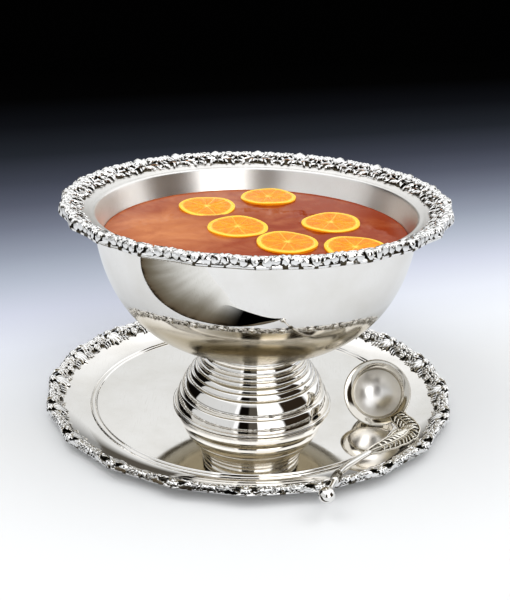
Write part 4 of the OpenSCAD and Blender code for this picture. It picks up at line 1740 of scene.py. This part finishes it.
@dataclass
class Studio:
    """The floor, the lights, the dark cards and the camera."""

    eye: Spot = (0.0038, -0.9855, 0.5072)
    pitch: float = 0.3766
    yaw: float = 0.0007
    roll: float = 0.0246
    lens: float = 58.46
    floor_half: float = 9000.0
    floor_drop: float = 0.3
    dado: Spot = (0.09, 0.078, 0.058)
    dado_share: float = 0.75
    ceiling: Spot = (1.0, 1.02, 1.05)
    even_light: Spot = (0.98, 0.99, 1.0)
    even_strength: float = 0.62
    behind_set: Spot = (0.0008, 0.0008, 0.001)
    drape: tuple[tuple[float, Spot], ...] = (
        (0.0, (0.66, 0.67, 0.68)), (0.45, (0.7, 0.715, 0.73)), (0.75, (0.97, 0.98, 1.0)))
    walls: tuple[tuple[float, Tone], ...] = (
        (-180, Tone.SHADE), (-141, Tone.SHADE), (-139, Tone.BLACK), (-97, Tone.BLACK), (-95, Tone.PALE),
        (-26, Tone.PALE), (-24, Tone.WHITE), (-20, Tone.WHITE), (-18, Tone.BLACK), (-4.5, Tone.BLACK),
        (-3.5, Tone.SHADE), (8.5, Tone.SHADE), (10.5, Tone.LAMP), (44, Tone.LAMP), (47, Tone.WHITE),
        (50, Tone.BROWN), (91, Tone.BROWN), (96, Tone.WHITE), (149, Tone.WHITE), (152, Tone.DIM),
        (180, Tone.DIM))
    card_edges: tuple[tuple[Point, ...], ...] = (
        ((-680, -185), (-466, -139), (-305, -141), (-187, -176), (-88, -215), (83, -257)),
        ((-690, -410), (-440, -315), (-284, -292), (-160, -312), (-98, -290), (83, -257.5)),
        ((-600, -800), (-363, -612), (-235, -500), (-110, -389), (-61, -329), (84, -258)))
    wedge_edges: tuple[tuple[Point, ...], ...] = (
        ((-130, -215), (-80, -225), (-47, -226), (-4, -243), (34, -255), (86, -257)),
        ((-118, -262), (-82, -268), (-45, -268), (0, -266), (41, -262), (86, -257.2)),
        ((-110, -300), (-79, -318), (-38, -308), (8, -289), (49, -269), (86, -257.4)))
    soft_boxes: tuple[tuple[str, Spot, float, float], ...] = (
        ("soft_left", (-0.9, -0.5, 1.7), 1.3, 9.7), ("soft_right", (0.9, -0.3, 1.6), 1.3, 8.2),
        ("soft_front", (0.0, -1.6, 1.6), 1.2, 6.8))

    def camera(self) -> None:
        """Sets the camera at its place."""
        forward = Vector((math.sin(self.yaw) * math.cos(self.pitch),
                          math.cos(self.yaw) * math.cos(self.pitch), -math.sin(self.pitch)))
        right = Vector((math.cos(self.yaw), -math.sin(self.yaw), 0))
        up = right.cross(forward)
        across = math.cos(self.roll) * right + math.sin(self.roll) * up
        over = -math.sin(self.roll) * right + math.cos(self.roll) * up
        data = bpy.data.cameras.new("camera")
        data.lens, data.sensor_width = self.lens, 36.0
        data.clip_start, data.clip_end = 0.01, 50.0
        camera = bpy.data.objects.new("camera", data)
        bpy.context.scene.collection.objects.link(camera)
        turn = Matrix((across, over, -forward)).transposed().to_4x4()
        camera.matrix_world = Matrix.Translation(self.eye) @ turn
        bpy.context.scene.camera = camera

    def world(self) -> None:
        """Walls round the set, light and dark in turn, a pale ceiling, and even light for the rest."""
        world = bpy.data.worlds.new("studio")
        bpy.context.scene.world = world
        world.use_nodes = True
        sheet = Sheet(world.node_tree)
        x, y, z = sheet.add("SeparateXYZ", {0: sheet.add("TexCoord").outputs["Generated"]}).outputs
        turn = sheet.sums("ARCTAN2", x, sheet.sums("MULTIPLY", y, -1.0))
        share = sheet.spread(turn, 0.0, 1.0, -math.pi, math.pi)
        walls = sheet.ramp(share, [((a + 180) / 360, tone.value) for a, tone in self.walls])
        walls = sheet.blend(sheet.spread(z, self.dado_share, 0.0, 0.03, 0.09), walls, self.dado)
        walls = sheet.blend(sheet.spread(z, 0.0, 1.0, 0.57, 0.7), walls, Tone.WHITE.value)
        behind = sheet.sums("MULTIPLY", sheet.spread(y, 0.0, 1.0, 0.58, 0.78),
                            sheet.spread(z, 0.0, 1.0, 0.2, 0.34))
        mirrored = sheet.blend(behind, walls, sheet.ramp(z, self.drape))
        mirrored = sheet.blend(sheet.spread(z, 0.0, 1.0, 0.9, 0.97), mirrored, self.ceiling)
        lit = sheet.add("Background", {"Color": (*self.even_light, 1), "Strength": self.even_strength})
        seen = sheet.add("Background", {"Color": (*self.behind_set, 1), "Strength": 1.0})
        gloss = sheet.add("Background", {"Color": mirrored, "Strength": 1.0})
        path = sheet.add("LightPath").outputs
        first = sheet.add("MixShader", {0: path["Is Diffuse Ray"], 1: gloss.outputs[0], 2: lit.outputs[0]})
        both = sheet.add("MixShader", {0: path["Is Camera Ray"], 1: first.outputs[0], 2: seen.outputs[0]})
        sheet.add("OutputWorld", {"Surface": both.outputs[0]})

    def floor(self) -> None:
        """The pale floor."""
        ways = ((-1, -1), (1, -1), (1, 1), (-1, 1))
        corners = np.array([(x * self.floor_half, y * self.floor_half, -self.floor_drop) for x, y in ways])
        stage_piece("studio_floor", corners, [(0, 1, 2, 3)], PaleFloor().material())

    def card(self, name: str, edges: Sequence[Sequence[Point]], high: float, finish: Finish) -> None:
        """A curved card that lies on the floor and shows only in the silver.

        Args:
            name: The card's name.
            edges: Its first edge, its middle and its last edge, each from end to end.
            high: How high it lies.
            finish: Its finish, which may read how far across and how far along a point is.
        """
        first, middle, last = (smooth_path([(x, y, high) for x, y in edge], 10) for edge in edges)
        shares = np.linspace(0, 1, 15)
        rows = [(1 - t) * (1 - 2 * t) * first + 4 * t * (1 - t) * middle + t * (2 * t - 1) * last
                for t in shares]
        cols = len(first)
        piece = stage_piece(name, np.vstack(rows), grid_faces(len(rows), cols, wrap=False).tolist(),
                            finish.material())
        marks = {"across": np.repeat(shares, cols), "along": np.tile(np.linspace(0, 1, cols), len(rows))}
        for mark, values in marks.items():
            store = piece.data.attributes.new(mark, "FLOAT", "POINT")
            store.data.foreach_set("value", values.astype(np.float32))
        piece.visible_camera = piece.visible_diffuse = piece.visible_shadow = False

    def lights(self) -> None:
        """Wide soft boxes overhead, kept out of the silver."""
        for name, place, size, power in self.soft_boxes:
            data = bpy.data.lights.new(name, "AREA")
            data.energy, data.size = power, size
            light = bpy.data.objects.new(name, data)
            bpy.context.scene.collection.objects.link(light)
            light.location = place
            light.rotation_euler = (Vector((0, 0, 0.1)) - Vector(place)).to_track_quat("-Z", "Y").to_euler()
            light.visible_glossy = False

    def build(self) -> None:
        """Makes the studio, with two dark cards that give the bowl's wall its dark sweep."""
        self.camera()
        self.world()
        self.floor()
        self.card("studio_card", self.card_edges, 1.0, BrownCard())
        self.card("studio_wedge", self.wedge_edges, 2.0, BlackCard())
        self.lights()
        bpy.context.scene.view_settings.view_transform = "Standard"
        bpy.context.scene.view_settings.look = "Medium High Contrast"


def main() -> None:
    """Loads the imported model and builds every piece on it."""
    logging.basicConfig(level=logging.INFO, format="%(name)s: %(message)s")
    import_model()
    sheet_silver = PolishedMetal("polished_silver").material()
    tray_silver = PolishedMetal("tray_silver", shine=0.03, haze=0.1, dent=0.00003).material()
    cast = CastSilver("cast_silver").material()
    chased = CastSilver("chased_silver", (0.86, 0.82, 0.73), (0.07, 0.055, 0.03), 0.5).material()
    brass = PolishedMetal("bare_brass", (0.78, 0.55, 0.22), (0.5, 0.33, 0.13), 0.16, 0.4, 0.00012).material()
    steel = PolishedMetal("steel", (0.62, 0.62, 0.63), (0.42, 0.41, 0.4), 0.2, 0.45, 0.0001).material()
    Studio().build()
    Tray().build(tray_silver, cast)
    bowl = Bowl()
    bowl.build(sheet_silver, CastSilver("cast_silver_bowl", edge=0.35, patches=0.32).material())
    Foot(axis=bowl.axis).build(sheet_silver, brass, steel)
    Contents(bowl).build(FruitPunch().material(), OrangeRind().material(), OrangeFlesh().material())
    Ladle().build(sheet_silver, chased)


if __name__ == "__main__":
    main()
